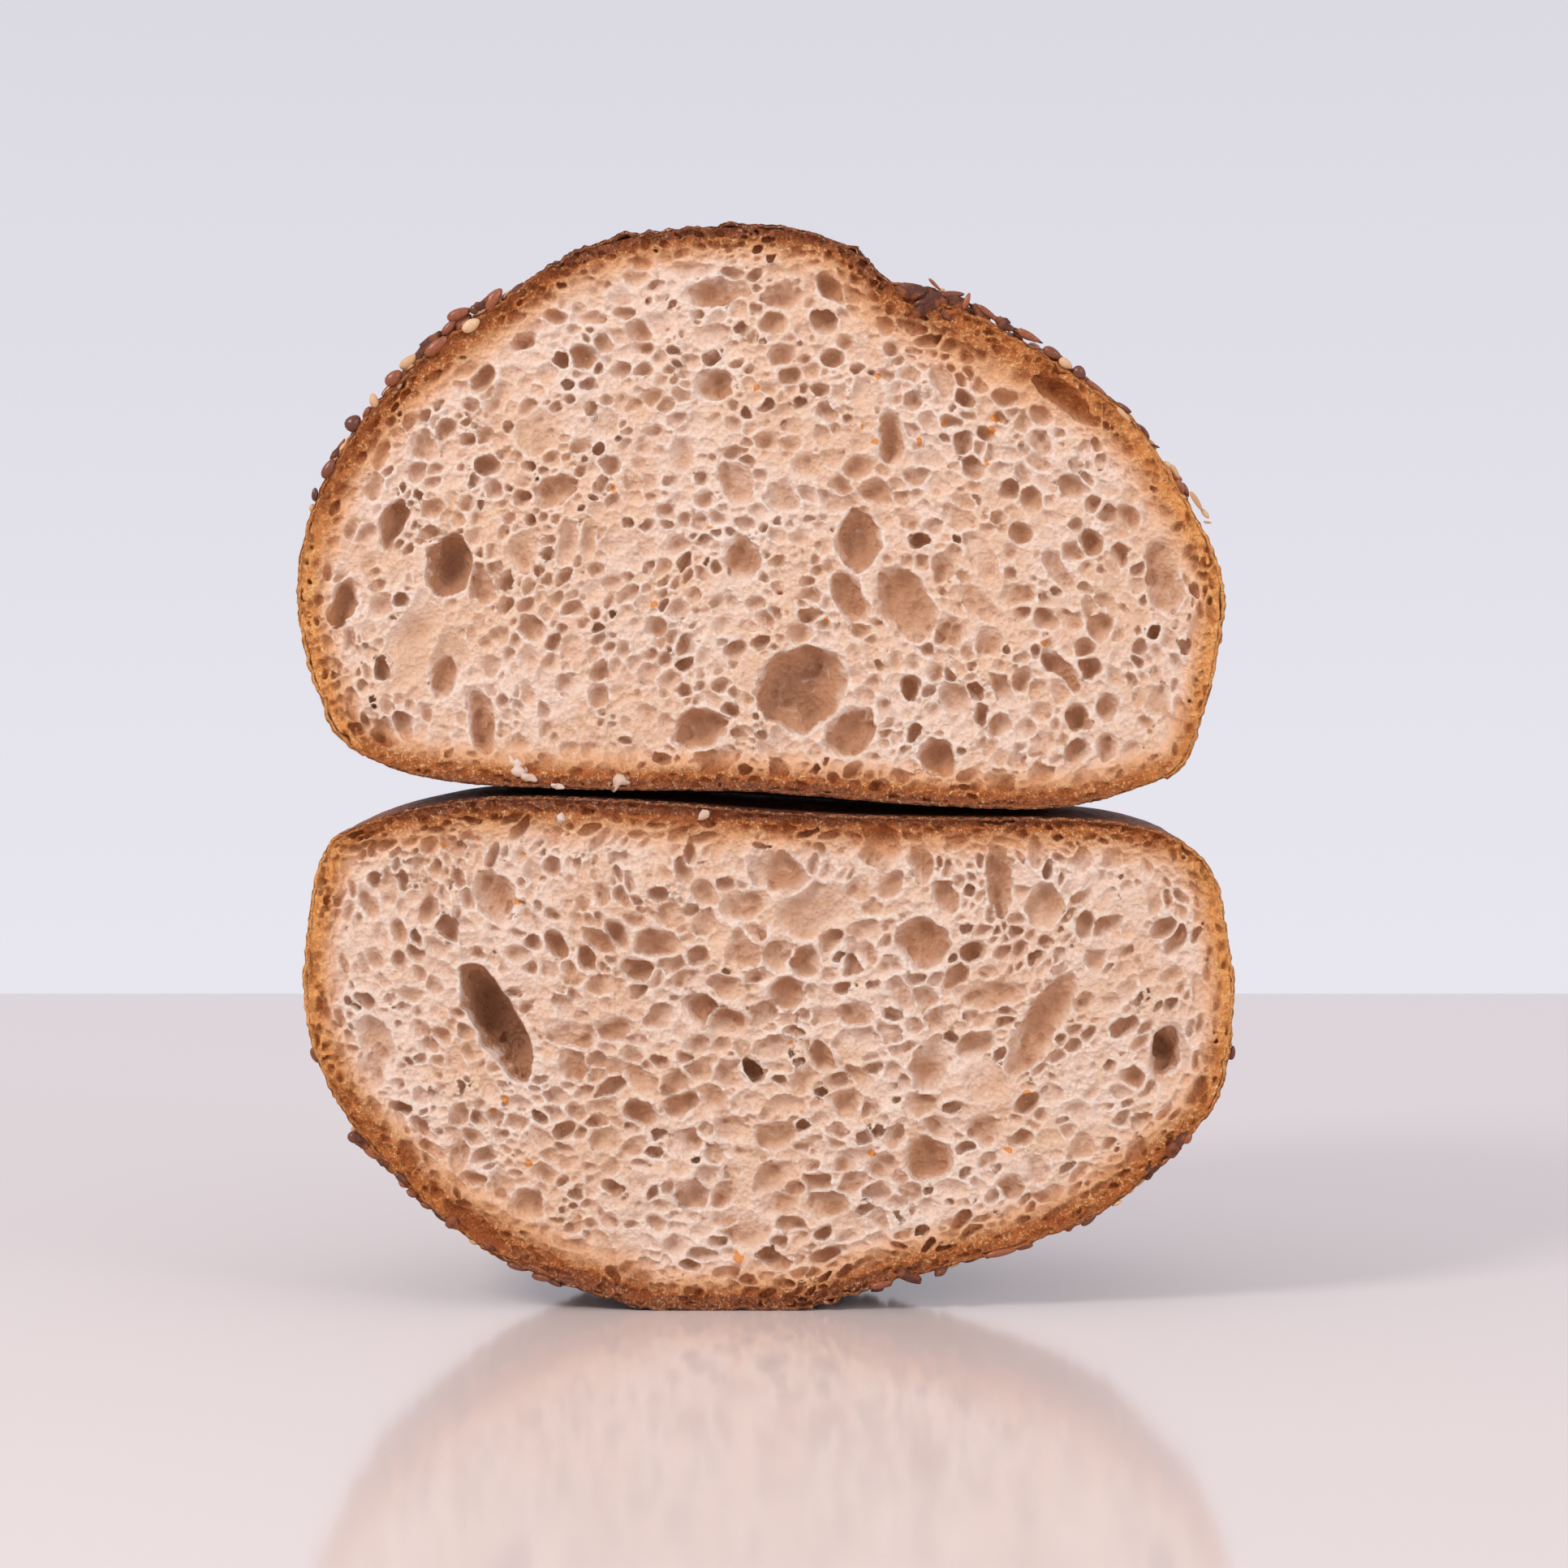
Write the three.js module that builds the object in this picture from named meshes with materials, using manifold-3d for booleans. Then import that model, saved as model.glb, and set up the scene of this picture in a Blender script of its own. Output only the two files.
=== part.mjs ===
// Split sourdough loaf: the two halves of one seeded loaf, stacked sole to sole, with both
// cut faces to the front (-Y). The upper half stands as baked. The lower half lies upside
// down and rests on its dome. Millimetres, +Z up. The origin is on the resting surface,
// under the middle of the stack.
import * as THREE from 'three';
import { mergeVertices } from 'three/addons/utils/BufferGeometryUtils.js';
import Module from 'manifold-3d';

const wasm = await Module();
wasm.setup();

// ---------------------------------------------------------------- driving dimensions
const HALF_LENGTH = 112;        // from the cut face to the loaf's rounded end
const CUT_Y = -HALF_LENGTH / 2; // both cut faces lie in this plane
const RESTING_Z = 0;            // the lower dome is flattened here by the loaf's weight

// The section shrinks to nothing at the rounded end along superellipses. The plan is the
// roundest, the dome is fuller, and the sole stays flat for longest.
const PLAN_POWER = 2.3;
const DOME_POWER = 2.7;
const SOLE_POWER = 3.8;

// Mesh steps.
const OUTLINE_STEPS = 68;
const EVEN_STEPS = 2;           // rings in the even stretch behind the cut
const END_STEPS = 12;           // rings in the shrinking stretch

// Gentle unevenness of the dome, as waves round the section that drift along the loaf.
// It fades in behind the cut, so the cut outline stays true.
const UNEVEN_START = 18;
const UNEVEN_WAVES = [
  { height: 0.55, turns: 3, pitch: 105, phase: 0.4 },
  { height: 0.4, turns: 7, pitch: -70, phase: 1.9 },
  { height: 0.28, turns: 12, pitch: 46, phase: 3.1 },
];

// Seeds pressed into the crust: long, wide and thick half sizes. Their middle stands a
// little proud of the crust.
const SEED_HALF_SIZE = { long: 2.7, wide: 1.45, thick: 0.95 };
const SEED_PROUD = 0.3;
const SEED_SIZE_SPREAD = 0.3;
const SEEDS_PER_BAND = 23;
const SEED_DEPTH = { from: 4, to: 96 };
const SEED_LOWEST_Z = 3.2;      // none under the loaf where it rests
const GOLDEN_TURN = Math.PI * (3 - Math.sqrt(5));

// A pore is a rounded pocket. Its depth follows its narrow half size, and its middle lies
// a little behind the cut.
const PORE_DEPTH_RATIO = 1.15;
const PORE_SET_BACK = 0.2;
const PORE_SIDES = 8;
const PORE_RINGS = 5;

// Outlines of the cut faces, [x, z], clockwise from the left side. Seed bands run between
// two places on the outline, counted in outline points.
const UPPER = {
  name: 'upper_half',
  color: 0xc99b7a,
  widestZ: 155,
  domeIsUp: true,
  evenLength: 10,
  soleSag: 0.65,                // the sole settles on the lower half behind the cut
  outline: [
    [-100.9, 153], [-98.4, 170.5], [-90.7, 187.1], [-76.7, 203.7], [-58, 217.8],
    [-41.8, 228.5], [-22.6, 233.4], [0.2, 234.3], [15.9, 231.1], [24.7, 224.1],
    [28.7, 221.5], [44.8, 215.4], [63.1, 204.5], [78.8, 192.7], [90.6, 175.2],
    [98.1, 158.7], [97.4, 143.4], [91.1, 120.6], [79.7, 112.9], [60.5, 108.7],
    [27.3, 109.4], [-7.7, 111.7], [-42.7, 112.9], [-67.1, 114.3], [-82.9, 118.4],
    [-94.2, 128],
  ],
  seedBands: [[1.4, 4.5], [10.3, 14.3]],
  // The pores that show most: x, z, half length, half width, lean of the length in degrees.
  pores: [
    [7.5, 134.5, 10.5, 9, 10], [-68.5, 161.5, 7.2, 5, 80], [-75, 146, 13, 5, 75],
    [-68.5, 139, 8.5, 4.6, 80], [-61.5, 128, 7.3, 3, 100], [-80.5, 171, 5.5, 3, 65],
    [-91, 153, 6, 2.5, 75], [-43, 167, 5.3, 2.8, 90], [-57, 197, 5.2, 2, 42],
    [-49, 190, 6, 4.2, 25], [-35, 191, 5.5, 4, 90], [-11.5, 200.5, 5, 4.2, 0],
    [-11, 220, 7, 3, 0], [-37.5, 214, 4.2, 1.8, 0], [-6, 179, 5, 4, 120],
    [-17.5, 185.5, 4, 4, 0], [-5.3, 163.3, 5.2, 3.6, 90], [-52, 165, 5, 3.3, 90],
    [-14.5, 126, 6, 4.3, 15], [19, 125.5, 6, 5, 60], [37.5, 120, 4.7, 4.2, 90],
    [30, 153, 9, 6, 120], [20, 167, 6.8, 5.3, 100], [27, 188.5, 6, 3, 95],
    [8.5, 183, 4.3, 3.3, 0], [47, 163, 7, 2.8, 118], [64, 160, 6.3, 2.2, -52],
    [63, 139, 6.5, 2.3, -55], [86, 159.5, 8.3, 4.7, 98], [66.5, 128, 3, 2.8, 0],
    [40.5, 132.5, 5, 3, 120], [84.5, 131.5, 4.2, 3, 90], [65.5, 196.5, 8, 2, -36],
    [13.5, 220, 3.8, 2, -38],
  ],
};

const LOWER = {
  name: 'lower_half',
  color: 0xc4936f,
  widestZ: 68,
  domeIsUp: false,
  evenLength: 26,
  soleSag: 0,
  outline: [
    [-100, 70.8], [-98.4, 88], [-95.1, 100.5], [-87.2, 106.1], [-74.1, 110.1],
    [-56.6, 112.2], [-25.2, 111.5], [6.3, 109.6], [36, 108], [65.7, 107.5], [81.5, 105.6],
    [91.1, 101], [97.3, 93], [100.4, 78], [100.9, 60], [96.3, 43.7], [86.7, 33.6],
    [74.5, 22.7], [58.7, 15.2], [41.3, 10.1], [29, 6.9], [18.5, 3.4], [1, -1.8],
    [-16.4, -1.5], [-33.9, 2.6], [-51.4, 8.6], [-67.1, 17.7], [-80.2, 29.7],
    [-90.7, 42.3], [-97.7, 55.9],
  ],
  seedBands: [[15.2, 20.6], [24.2, 27.8]],
  pores: [
    [-58.5, 62.5, 14.6, 4.6, 117], [-85, 56, 8.8, 5.2, 100], [-58.5, 90.5, 6, 4.2, 102],
    [-82.8, 91, 5.2, 2.2, 90], [-79, 83, 3.6, 2.2, 112], [-67.5, 100.5, 2.9, 2.7, 0],
    [-31, 97, 4, 2, -20], [-23.5, 80.5, 4.5, 3, -20], [-34, 71, 5, 2.4, 0],
    [-42, 54, 4.5, 3, 110], [-5.5, 52.5, 5.2, 4, -10], [-10, 42.5, 2.6, 2, 0],
    [-52, 23.5, 3.6, 3, -20], [-58, 28, 3.2, 2.6, 90], [-77.5, 34.5, 4, 2.7, 100],
    [-66.5, 34, 3.8, 2.8, 90], [-92, 48, 5, 2.2, -52], [-62.5, 18.5, 8.5, 2, -38],
    [7, 50, 4.6, 4, -10], [33.7, 79.5, 6.2, 5.4, 0], [44.5, 77.7, 3.7, 2.4, 25],
    [3, 94.5, 7.5, 4.2, -20], [24.5, 99.5, 5, 4.6, 0], [33.3, 97, 4.4, 2.7, 100],
    [50.5, 93, 8, 2.8, 98], [60, 88.5, 5, 4.2, 90], [59.5, 62.5, 14, 4.6, 60],
    [86.5, 55.5, 7.4, 5, 80], [48, 50, 5.4, 5, 0], [36, 54, 7.2, 4.2, 68],
    [35, 33, 6, 5.2, 0], [48, 39.5, 4.3, 4, 0], [19, 34, 5.5, 2.4, 35],
    [53.5, 27, 3.6, 2.9, 0], [13, 11.5, 4.1, 1.9, 12], [65, 22, 6.6, 2, 35],
  ],
};

// ---------------------------------------------------------------- meshes and booleans
function toSolid(geometry) {
  const closed = geometry.clone();
  closed.deleteAttribute('normal');
  closed.deleteAttribute('uv');
  const merged = mergeVertices(closed, 1e-4);
  return new wasm.Manifold(new wasm.Mesh({
    numProp: 3,
    vertProperties: new Float32Array(merged.attributes.position.array),
    triVerts: new Uint32Array(merged.index.array),
  }));
}

function toGeometry(solid) {
  const mesh = solid.getMesh();
  const geometry = new THREE.BufferGeometry();
  geometry.setAttribute('position', new THREE.BufferAttribute(mesh.vertProperties, 3));
  geometry.setIndex(new THREE.BufferAttribute(mesh.triVerts, 1));
  geometry.computeVertexNormals();
  return geometry;
}

// ---------------------------------------------------------------- form of one half
function superellipse(t, power) {
  return (1 - t ** power) ** (1 / power);
}

// A half's skin as a function: a place on the outline (0 to 1) and a distance behind the
// cut give a point.
function skinOf(half) {
  const corners = half.outline.map(([x, z]) => new THREE.Vector3(x, 0, z));
  const curve = new THREE.CatmullRomCurve3(corners, true, 'catmullrom', 0.5);
  const shrinkLength = HALF_LENGTH - half.evenLength;
  const domeSide = half.domeIsUp ? 1 : -1;

  return (place, depth) => {
    const edge = curve.getPoint(((place % 1) + 1) % 1);
    const rise = edge.z - half.widestZ;
    const onDome = rise * domeSide > 0;
    const t = Math.min(1, Math.max(0, (depth - half.evenLength) / shrinkLength));
    const across = superellipse(t, PLAN_POWER);
    const upright = superellipse(t, onDome ? DOME_POWER : SOLE_POWER);
    const settle = onDome ? 0 : half.soleSag * Math.sin(Math.PI * depth / HALF_LENGTH);
    const fade = THREE.MathUtils.smoothstep(depth, 0, UNEVEN_START) * (onDome ? across : 0)
      * THREE.MathUtils.smoothstep(Math.abs(rise), 0, 40);
    let swell = 0;
    for (const wave of UNEVEN_WAVES) {
      const turn = 2 * Math.PI * (wave.turns * place + depth / wave.pitch);
      swell += wave.height * Math.sin(turn + wave.phase);
    }
    const stretch = 1 + fade * swell / Math.hypot(edge.x, rise);
    return new THREE.Vector3(
      edge.x * across * stretch,
      CUT_Y + depth,
      half.widestZ + rise * upright * stretch - settle,
    );
  };
}

// Distances of the mesh's rings behind the cut.
function ringDepths(half) {
  const depths = [];
  for (let i = 0; i < EVEN_STEPS; i++) {
    depths.push(half.evenLength * i / EVEN_STEPS);
  }
  for (let i = 0; i < END_STEPS; i++) {
    const t = Math.sin(Math.PI / 2 * i / END_STEPS) ** (2 / PLAN_POWER);
    depths.push(half.evenLength + t * (HALF_LENGTH - half.evenLength));
  }
  return depths;
}

function bodyGeometry(half, skin) {
  const points = [];
  const faces = [];
  const depths = ringDepths(half);
  for (const depth of depths) {
    for (let i = 0; i < OUTLINE_STEPS; i++) {
      points.push(skin(i / OUTLINE_STEPS, depth));
    }
  }
  // The outline runs clockwise as seen from the front.
  for (let ring = 0; ring + 1 < depths.length; ring++) {
    for (let i = 0; i < OUTLINE_STEPS; i++) {
      const next = (i + 1) % OUTLINE_STEPS;
      const a = ring * OUTLINE_STEPS + i;
      const b = ring * OUTLINE_STEPS + next;
      faces.push(a, b, a + OUTLINE_STEPS, b, b + OUTLINE_STEPS, a + OUTLINE_STEPS);
    }
  }
  const tip = points.push(new THREE.Vector3(0, CUT_Y + HALF_LENGTH, half.widestZ)) - 1;
  const lastRing = (depths.length - 1) * OUTLINE_STEPS;
  for (let i = 0; i < OUTLINE_STEPS; i++) {
    faces.push(lastRing + i, lastRing + (i + 1) % OUTLINE_STEPS, tip);
  }
  const front = points.slice(0, OUTLINE_STEPS).map((p) => new THREE.Vector2(p.x, p.z));
  for (const [a, b, c] of THREE.ShapeUtils.triangulateShape(front, [])) {
    faces.push(a, b, c);
  }
  const geometry = new THREE.BufferGeometry().setFromPoints(points);
  geometry.setIndex(faces);
  return geometry;
}

// ---------------------------------------------------------------- pores and seeds
function poreSolid([x, z, halfLong, halfWide, lean]) {
  const halfDeep = halfWide * PORE_DEPTH_RATIO;
  const pocket = new THREE.SphereGeometry(1, PORE_SIDES, PORE_RINGS);
  pocket.scale(halfLong, halfDeep, halfWide);
  pocket.rotateY(-THREE.MathUtils.degToRad(lean));
  pocket.translate(x, CUT_Y + halfDeep * PORE_SET_BACK, z);
  return toSolid(pocket);
}

// Even, unrepeating spread of numbers between 0 and 1.
function spread(index, base) {
  let value = 0;
  let step = 1;
  for (let i = index; i > 0; i = Math.floor(i / base)) {
    step /= base;
    value += step * (i % base);
  }
  return value;
}

function seedSolid(skin, place, depth, number) {
  const here = skin(place, depth);
  const along = skin(place, depth + 1).sub(here).normalize();
  const round = skin(place + 0.002, depth).sub(here).normalize();
  const out = new THREE.Vector3().crossVectors(round, along).normalize();
  const size = 1 - SEED_SIZE_SPREAD * spread(number, 5);
  const seed = new THREE.SphereGeometry(1, 5, 4);
  seed.scale(SEED_HALF_SIZE.long * size, SEED_HALF_SIZE.wide * size, SEED_HALF_SIZE.thick);
  seed.rotateZ(GOLDEN_TURN * number);
  const side = new THREE.Vector3().crossVectors(out, along);
  seed.applyMatrix4(new THREE.Matrix4().makeBasis(along, side, out));
  seed.translate(
    here.x + out.x * SEED_PROUD,
    here.y + out.y * SEED_PROUD,
    here.z + out.z * SEED_PROUD,
  );
  return toSolid(seed);
}

function seedSolids(half, skin) {
  const seeds = [];
  const points = half.outline.length;
  for (const [from, to] of half.seedBands) {
    for (let number = 1; number <= SEEDS_PER_BAND; number++) {
      const place = THREE.MathUtils.lerp(from, to, spread(number, 2)) / points;
      const depth = THREE.MathUtils.lerp(SEED_DEPTH.from, SEED_DEPTH.to, spread(number, 3));
      if (skin(place, depth).z > SEED_LOWEST_Z) {
        seeds.push(seedSolid(skin, place, depth, number));
      }
    }
  }
  return seeds;
}

// ---------------------------------------------------------------- one half of the loaf
function halfLoaf(half) {
  const skin = skinOf(half);
  let solid = toSolid(bodyGeometry(half, skin));
  for (const seed of seedSolids(half, skin)) {
    solid = solid.add(seed);
  }
  for (const pore of half.pores) {
    solid = solid.subtract(poreSolid(pore));
  }
  if (!half.domeIsUp) {
    const room = 3 * HALF_LENGTH;
    const below = new THREE.BoxGeometry(room, room, room);
    below.translate(0, 0, RESTING_Z - room / 2);
    solid = solid.subtract(toSolid(below));
  }
  const material = new THREE.MeshStandardMaterial({
    color: half.color,
    roughness: 0.85,
    metalness: 0,
  });
  const mesh = new THREE.Mesh(toGeometry(solid), material);
  mesh.name = half.name;
  return mesh;
}

const group = new THREE.Group();
group.add(halfLoaf(UPPER), halfLoaf(LOWER));

export default group;
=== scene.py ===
"""Split sourdough loaf: crust, open crumb and seeds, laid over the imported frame.

The two halves stand sole to sole with their cut faces to the front (-Y). Sizes are in
millimetres in the loaf's own tables and in metres wherever Blender holds them.
"""
import math

import bpy
import numpy as np
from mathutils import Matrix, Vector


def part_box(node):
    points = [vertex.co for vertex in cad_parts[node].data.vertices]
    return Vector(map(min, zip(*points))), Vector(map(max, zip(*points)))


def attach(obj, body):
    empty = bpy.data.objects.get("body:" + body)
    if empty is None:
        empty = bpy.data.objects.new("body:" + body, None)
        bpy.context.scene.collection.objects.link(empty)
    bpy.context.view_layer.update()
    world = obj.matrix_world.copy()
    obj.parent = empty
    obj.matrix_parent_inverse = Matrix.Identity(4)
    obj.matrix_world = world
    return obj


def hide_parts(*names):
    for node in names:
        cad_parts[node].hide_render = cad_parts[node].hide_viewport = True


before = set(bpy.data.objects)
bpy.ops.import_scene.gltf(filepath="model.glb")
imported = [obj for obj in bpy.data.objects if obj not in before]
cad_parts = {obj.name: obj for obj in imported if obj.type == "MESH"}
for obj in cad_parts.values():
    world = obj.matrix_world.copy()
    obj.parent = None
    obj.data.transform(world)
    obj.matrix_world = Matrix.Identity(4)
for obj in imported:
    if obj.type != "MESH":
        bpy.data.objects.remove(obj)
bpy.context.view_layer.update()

bl_info = {
    "name": "Split Sourdough Loaf",
    "version": (1, 0, 0),
    "blender": (4, 5, 0),
    "location": "3D View > Sidebar > Loaf",
    "description": "Builds the crust, crumb and seeds of a split sourdough loaf",
    "category": "Add Mesh",
}

MM = 0.001
UPPER_LOW, UPPER_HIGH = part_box("upper_half")
CUT_Y = UPPER_LOW.y / MM
HALF_LENGTH = (UPPER_HIGH.y - UPPER_LOW.y) / MM

# ------------------------------------------------------------------ form of the two halves
# The section shrinks along superellipses towards the rounded end, as in the frame.
PLAN_POWER = 2.3
DOME_POWER = 2.7
SOLE_POWER = 3.8
UNEVEN_FROM = 12.0
UNEVEN_TO = 36.0
UNEVEN_WAVES = (  # height, turns round the section, pitch along the loaf, phase
    (0.55, 3, 105.0, 0.4),
    (0.40, 7, -70.0, 1.9),
    (0.28, 12, 46.0, 3.1),
)

# The outline of a cut face is (x, z), clockwise from the left side. "toast" and "bake" tell how
# wide and how dark the toasted band is at each of its points, and seed bands count its points.
# Torn crumb has a centre, a reach along X and Z, and a depth. Pores are x, z, half length, half
# width, lean in degrees and, where it isn't the usual one, depth over half width.
UPPER = {
    "name": "upper",
    "node": "upper_half",
    "widest_z": 155.0,
    "dome_side": 1,
    "even_length": 10.0,
    "sole_sag": 0.65,
    "grain_centre": (0.0, 136.0),
    "stretch": 0.6,
    "torn": (45.0, 165.0, 45.0, 40.0, 0.35),
    "outline": (
        (-100.9, 153), (-98.4, 170.5), (-90.7, 187.1), (-76.7, 203.7), (-58, 217.8),
        (-41.8, 228.5), (-22.6, 233.4), (0.2, 234.3), (15.9, 231.1), (24.7, 224.1),
        (28.7, 221.5), (44.8, 215.4), (63.1, 204.5), (78.8, 192.7), (90.6, 175.2),
        (98.1, 158.7), (97.4, 143.4), (91.1, 120.6), (79.7, 112.9), (60.5, 108.7),
        (27.3, 109.4), (-7.7, 111.7), (-42.7, 112.9), (-67.1, 114.3), (-82.9, 118.4),
        (-94.2, 128),
    ),
    "toast": (
        4.5, 5, 5.8, 6, 6, 5.8, 5.4, 5.2, 5.4, 6.5, 8, 9, 8, 6.5, 5.5, 4.8, 4.2, 4, 4.8, 5.2, 5.5,
        5.5, 5.5, 5.5, 5, 4.5,
    ),
    "bake": (
        0.1, 0.3, 0.5, 0.6, 0.6, 0.8, 0.92, 0.95, 0.9, 0.85, 0.62, 0.42, 0.4, 0.3, 0.1, 0.04,
        0.1, 0.2, 0.5, 0.7, 0.75, 0.75, 0.75, 0.7, 0.45, 0.15,
    ),
    "seed_bands": ((1.4, 4.5), (10.3, 14.3)),
    "pores": (
        (7.5, 134.5, 10.5, 9, 10, 0.85), (-68.5, 161.5, 7.2, 5, 80, 1.4),
        (-76, 146, 13.5, 5.2, 72, 0.4), (-68.5, 140.5, 8.5, 4.8, 80, 0.5),
        (-69.5, 137.5, 5, 3.5, 80, 1.3), (-61.5, 128, 7.3, 3, 100, 1.5),
        (-80.5, 171, 5.5, 3, 65, 1.5), (-91, 153, 6, 2.5, 75, 1.5), (-43, 167, 5.3, 2.8, 90, 1.0),
        (-38.5, 167, 4.5, 1.8, 90, 1.3), (-57, 197, 5.2, 2, 42, 1.3), (-49, 190, 6, 4.2, 25, 0.4),
        (-35, 191, 5.5, 4, 90, 0.45), (-11.5, 200.5, 5, 4.2, 0), (-11, 220, 7, 3, 0),
        (-37.5, 214, 4.2, 1.8, 0, 1.5), (-22.5, 213.5, 4, 2.5, 0, 0.4),
        (-11.5, 211, 4.5, 3, 0, 0.45),
        (-17, 225, 7, 1.7, 0), (-6, 179, 5, 4, 120), (-17.5, 185.5, 4, 4, 0, 0.6),
        (-5.3, 163.3, 5.2, 3.6, 90), (-73, 187, 3.3, 3, 90), (-68.5, 190.5, 2.6, 2, 60, 1.4),
        (-83, 185.5, 4, 1.7, 70), (-85, 178, 3.2, 2.2, 65), (-45, 178, 5, 3.5, 0),
        (-52, 165, 5, 3.3, 90), (-62, 157, 5.5, 3.2, 90), (-50, 148, 3.5, 3, 110),
        (-57.2, 146.8, 2.5, 2.2, 90), (-42, 144, 2.5, 2, 90), (-25.5, 138, 2.7, 2.6, 90),
        (-14.5, 126, 6, 4.3, 15, 1.1), (-11, 119.5, 5, 2.5, 0), (-83, 125.5, 3.5, 3, 110),
        (-89.5, 131, 4, 1.8, 90), (-44.5, 131.5, 2.8, 1.3, 0), (-53.5, 123.5, 3, 2, -25),
        (19, 125.5, 6, 5, 60), (37.5, 120, 4.7, 4.2, 90, 1.1), (30, 153, 9, 6, 120, 0.7),
        (20, 167, 6.8, 5.3, 100, 0.9), (18, 155, 6, 3.5, 110, 1.1), (27, 188.5, 6, 3, 95, 1.4),
        (21.5, 197.5, 4, 2.5, 100), (8.5, 183, 4.3, 3.3, 0), (4, 176, 4, 3.8, 0),
        (14, 176, 2.7, 2.5, 90), (13.5, 220, 3.8, 2, -38, 1.9), (9, 221, 2.3, 1.8, 90),
        (3, 219, 5, 3.5, 0), (22.5, 213.5, 4.3, 1.2, -58), (21.5, 206.5, 4, 2.2, 125),
        (38, 200, 3.8, 3, 120), (47, 163, 7, 2.8, 118, 0.9), (46.5, 154, 6.5, 3, -40, 0.8),
        (64, 160, 6.3, 2.1, -52, 1.6), (63, 139, 6.5, 2.2, -55, 1.5),
        (86, 159.5, 8.3, 4.7, 98, 0.7),
        (66.5, 128, 3, 2.8, 0, 1.4), (72.5, 122.5, 2.7, 2.5, 90, 1.4), (40.5, 132.5, 5, 3, 120),
        (50.5, 135, 4.2, 2.2, 110), (50.5, 115, 3.3, 3, 0), (59, 117.5, 2.5, 2.4, 90),
        (58.5, 123, 2.3, 2.2, 90), (24.5, 113.5, 2.8, 1.6, 0), (2, 118, 2.7, 2.5, 0),
        (81, 117, 2.5, 1.8, 60), (83.5, 122.7, 2.4, 2, 90), (84.5, 132.5, 3.6, 3.2, 90),
        (87.5, 126.5, 2.8, 2.1, 90), (89, 139, 3.8, 1.6, 110), (93, 146, 5.5, 1.5, 85),
        (87.5, 145, 3.8, 1.8, 110), (55, 180, 3.2, 2, 110), (56, 192, 2.2, 2, 90),
        (60, 188, 2.7, 2.4, 90), (68.5, 186, 1.9, 1.6, -30), (75.5, 182, 2.6, 1.5, 100),
        (80.5, 181, 3.7, 1.6, 110), (72.5, 178.5, 2.7, 2.2, 130), (78, 177, 2.5, 2, 100),
        (65, 196.6, 8.5, 2.3, -36, 1.7), (63.5, 173.8, 2.1, 0.8, 110), (75.5, 168.5, 3.2, 2, 110),
        (-92, 178, 3.4, 1.4, 55), (-84, 192.5, 2.8, 1.1, 50), (97, 152, 3, 1.2, 95),
    ),
}

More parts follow.
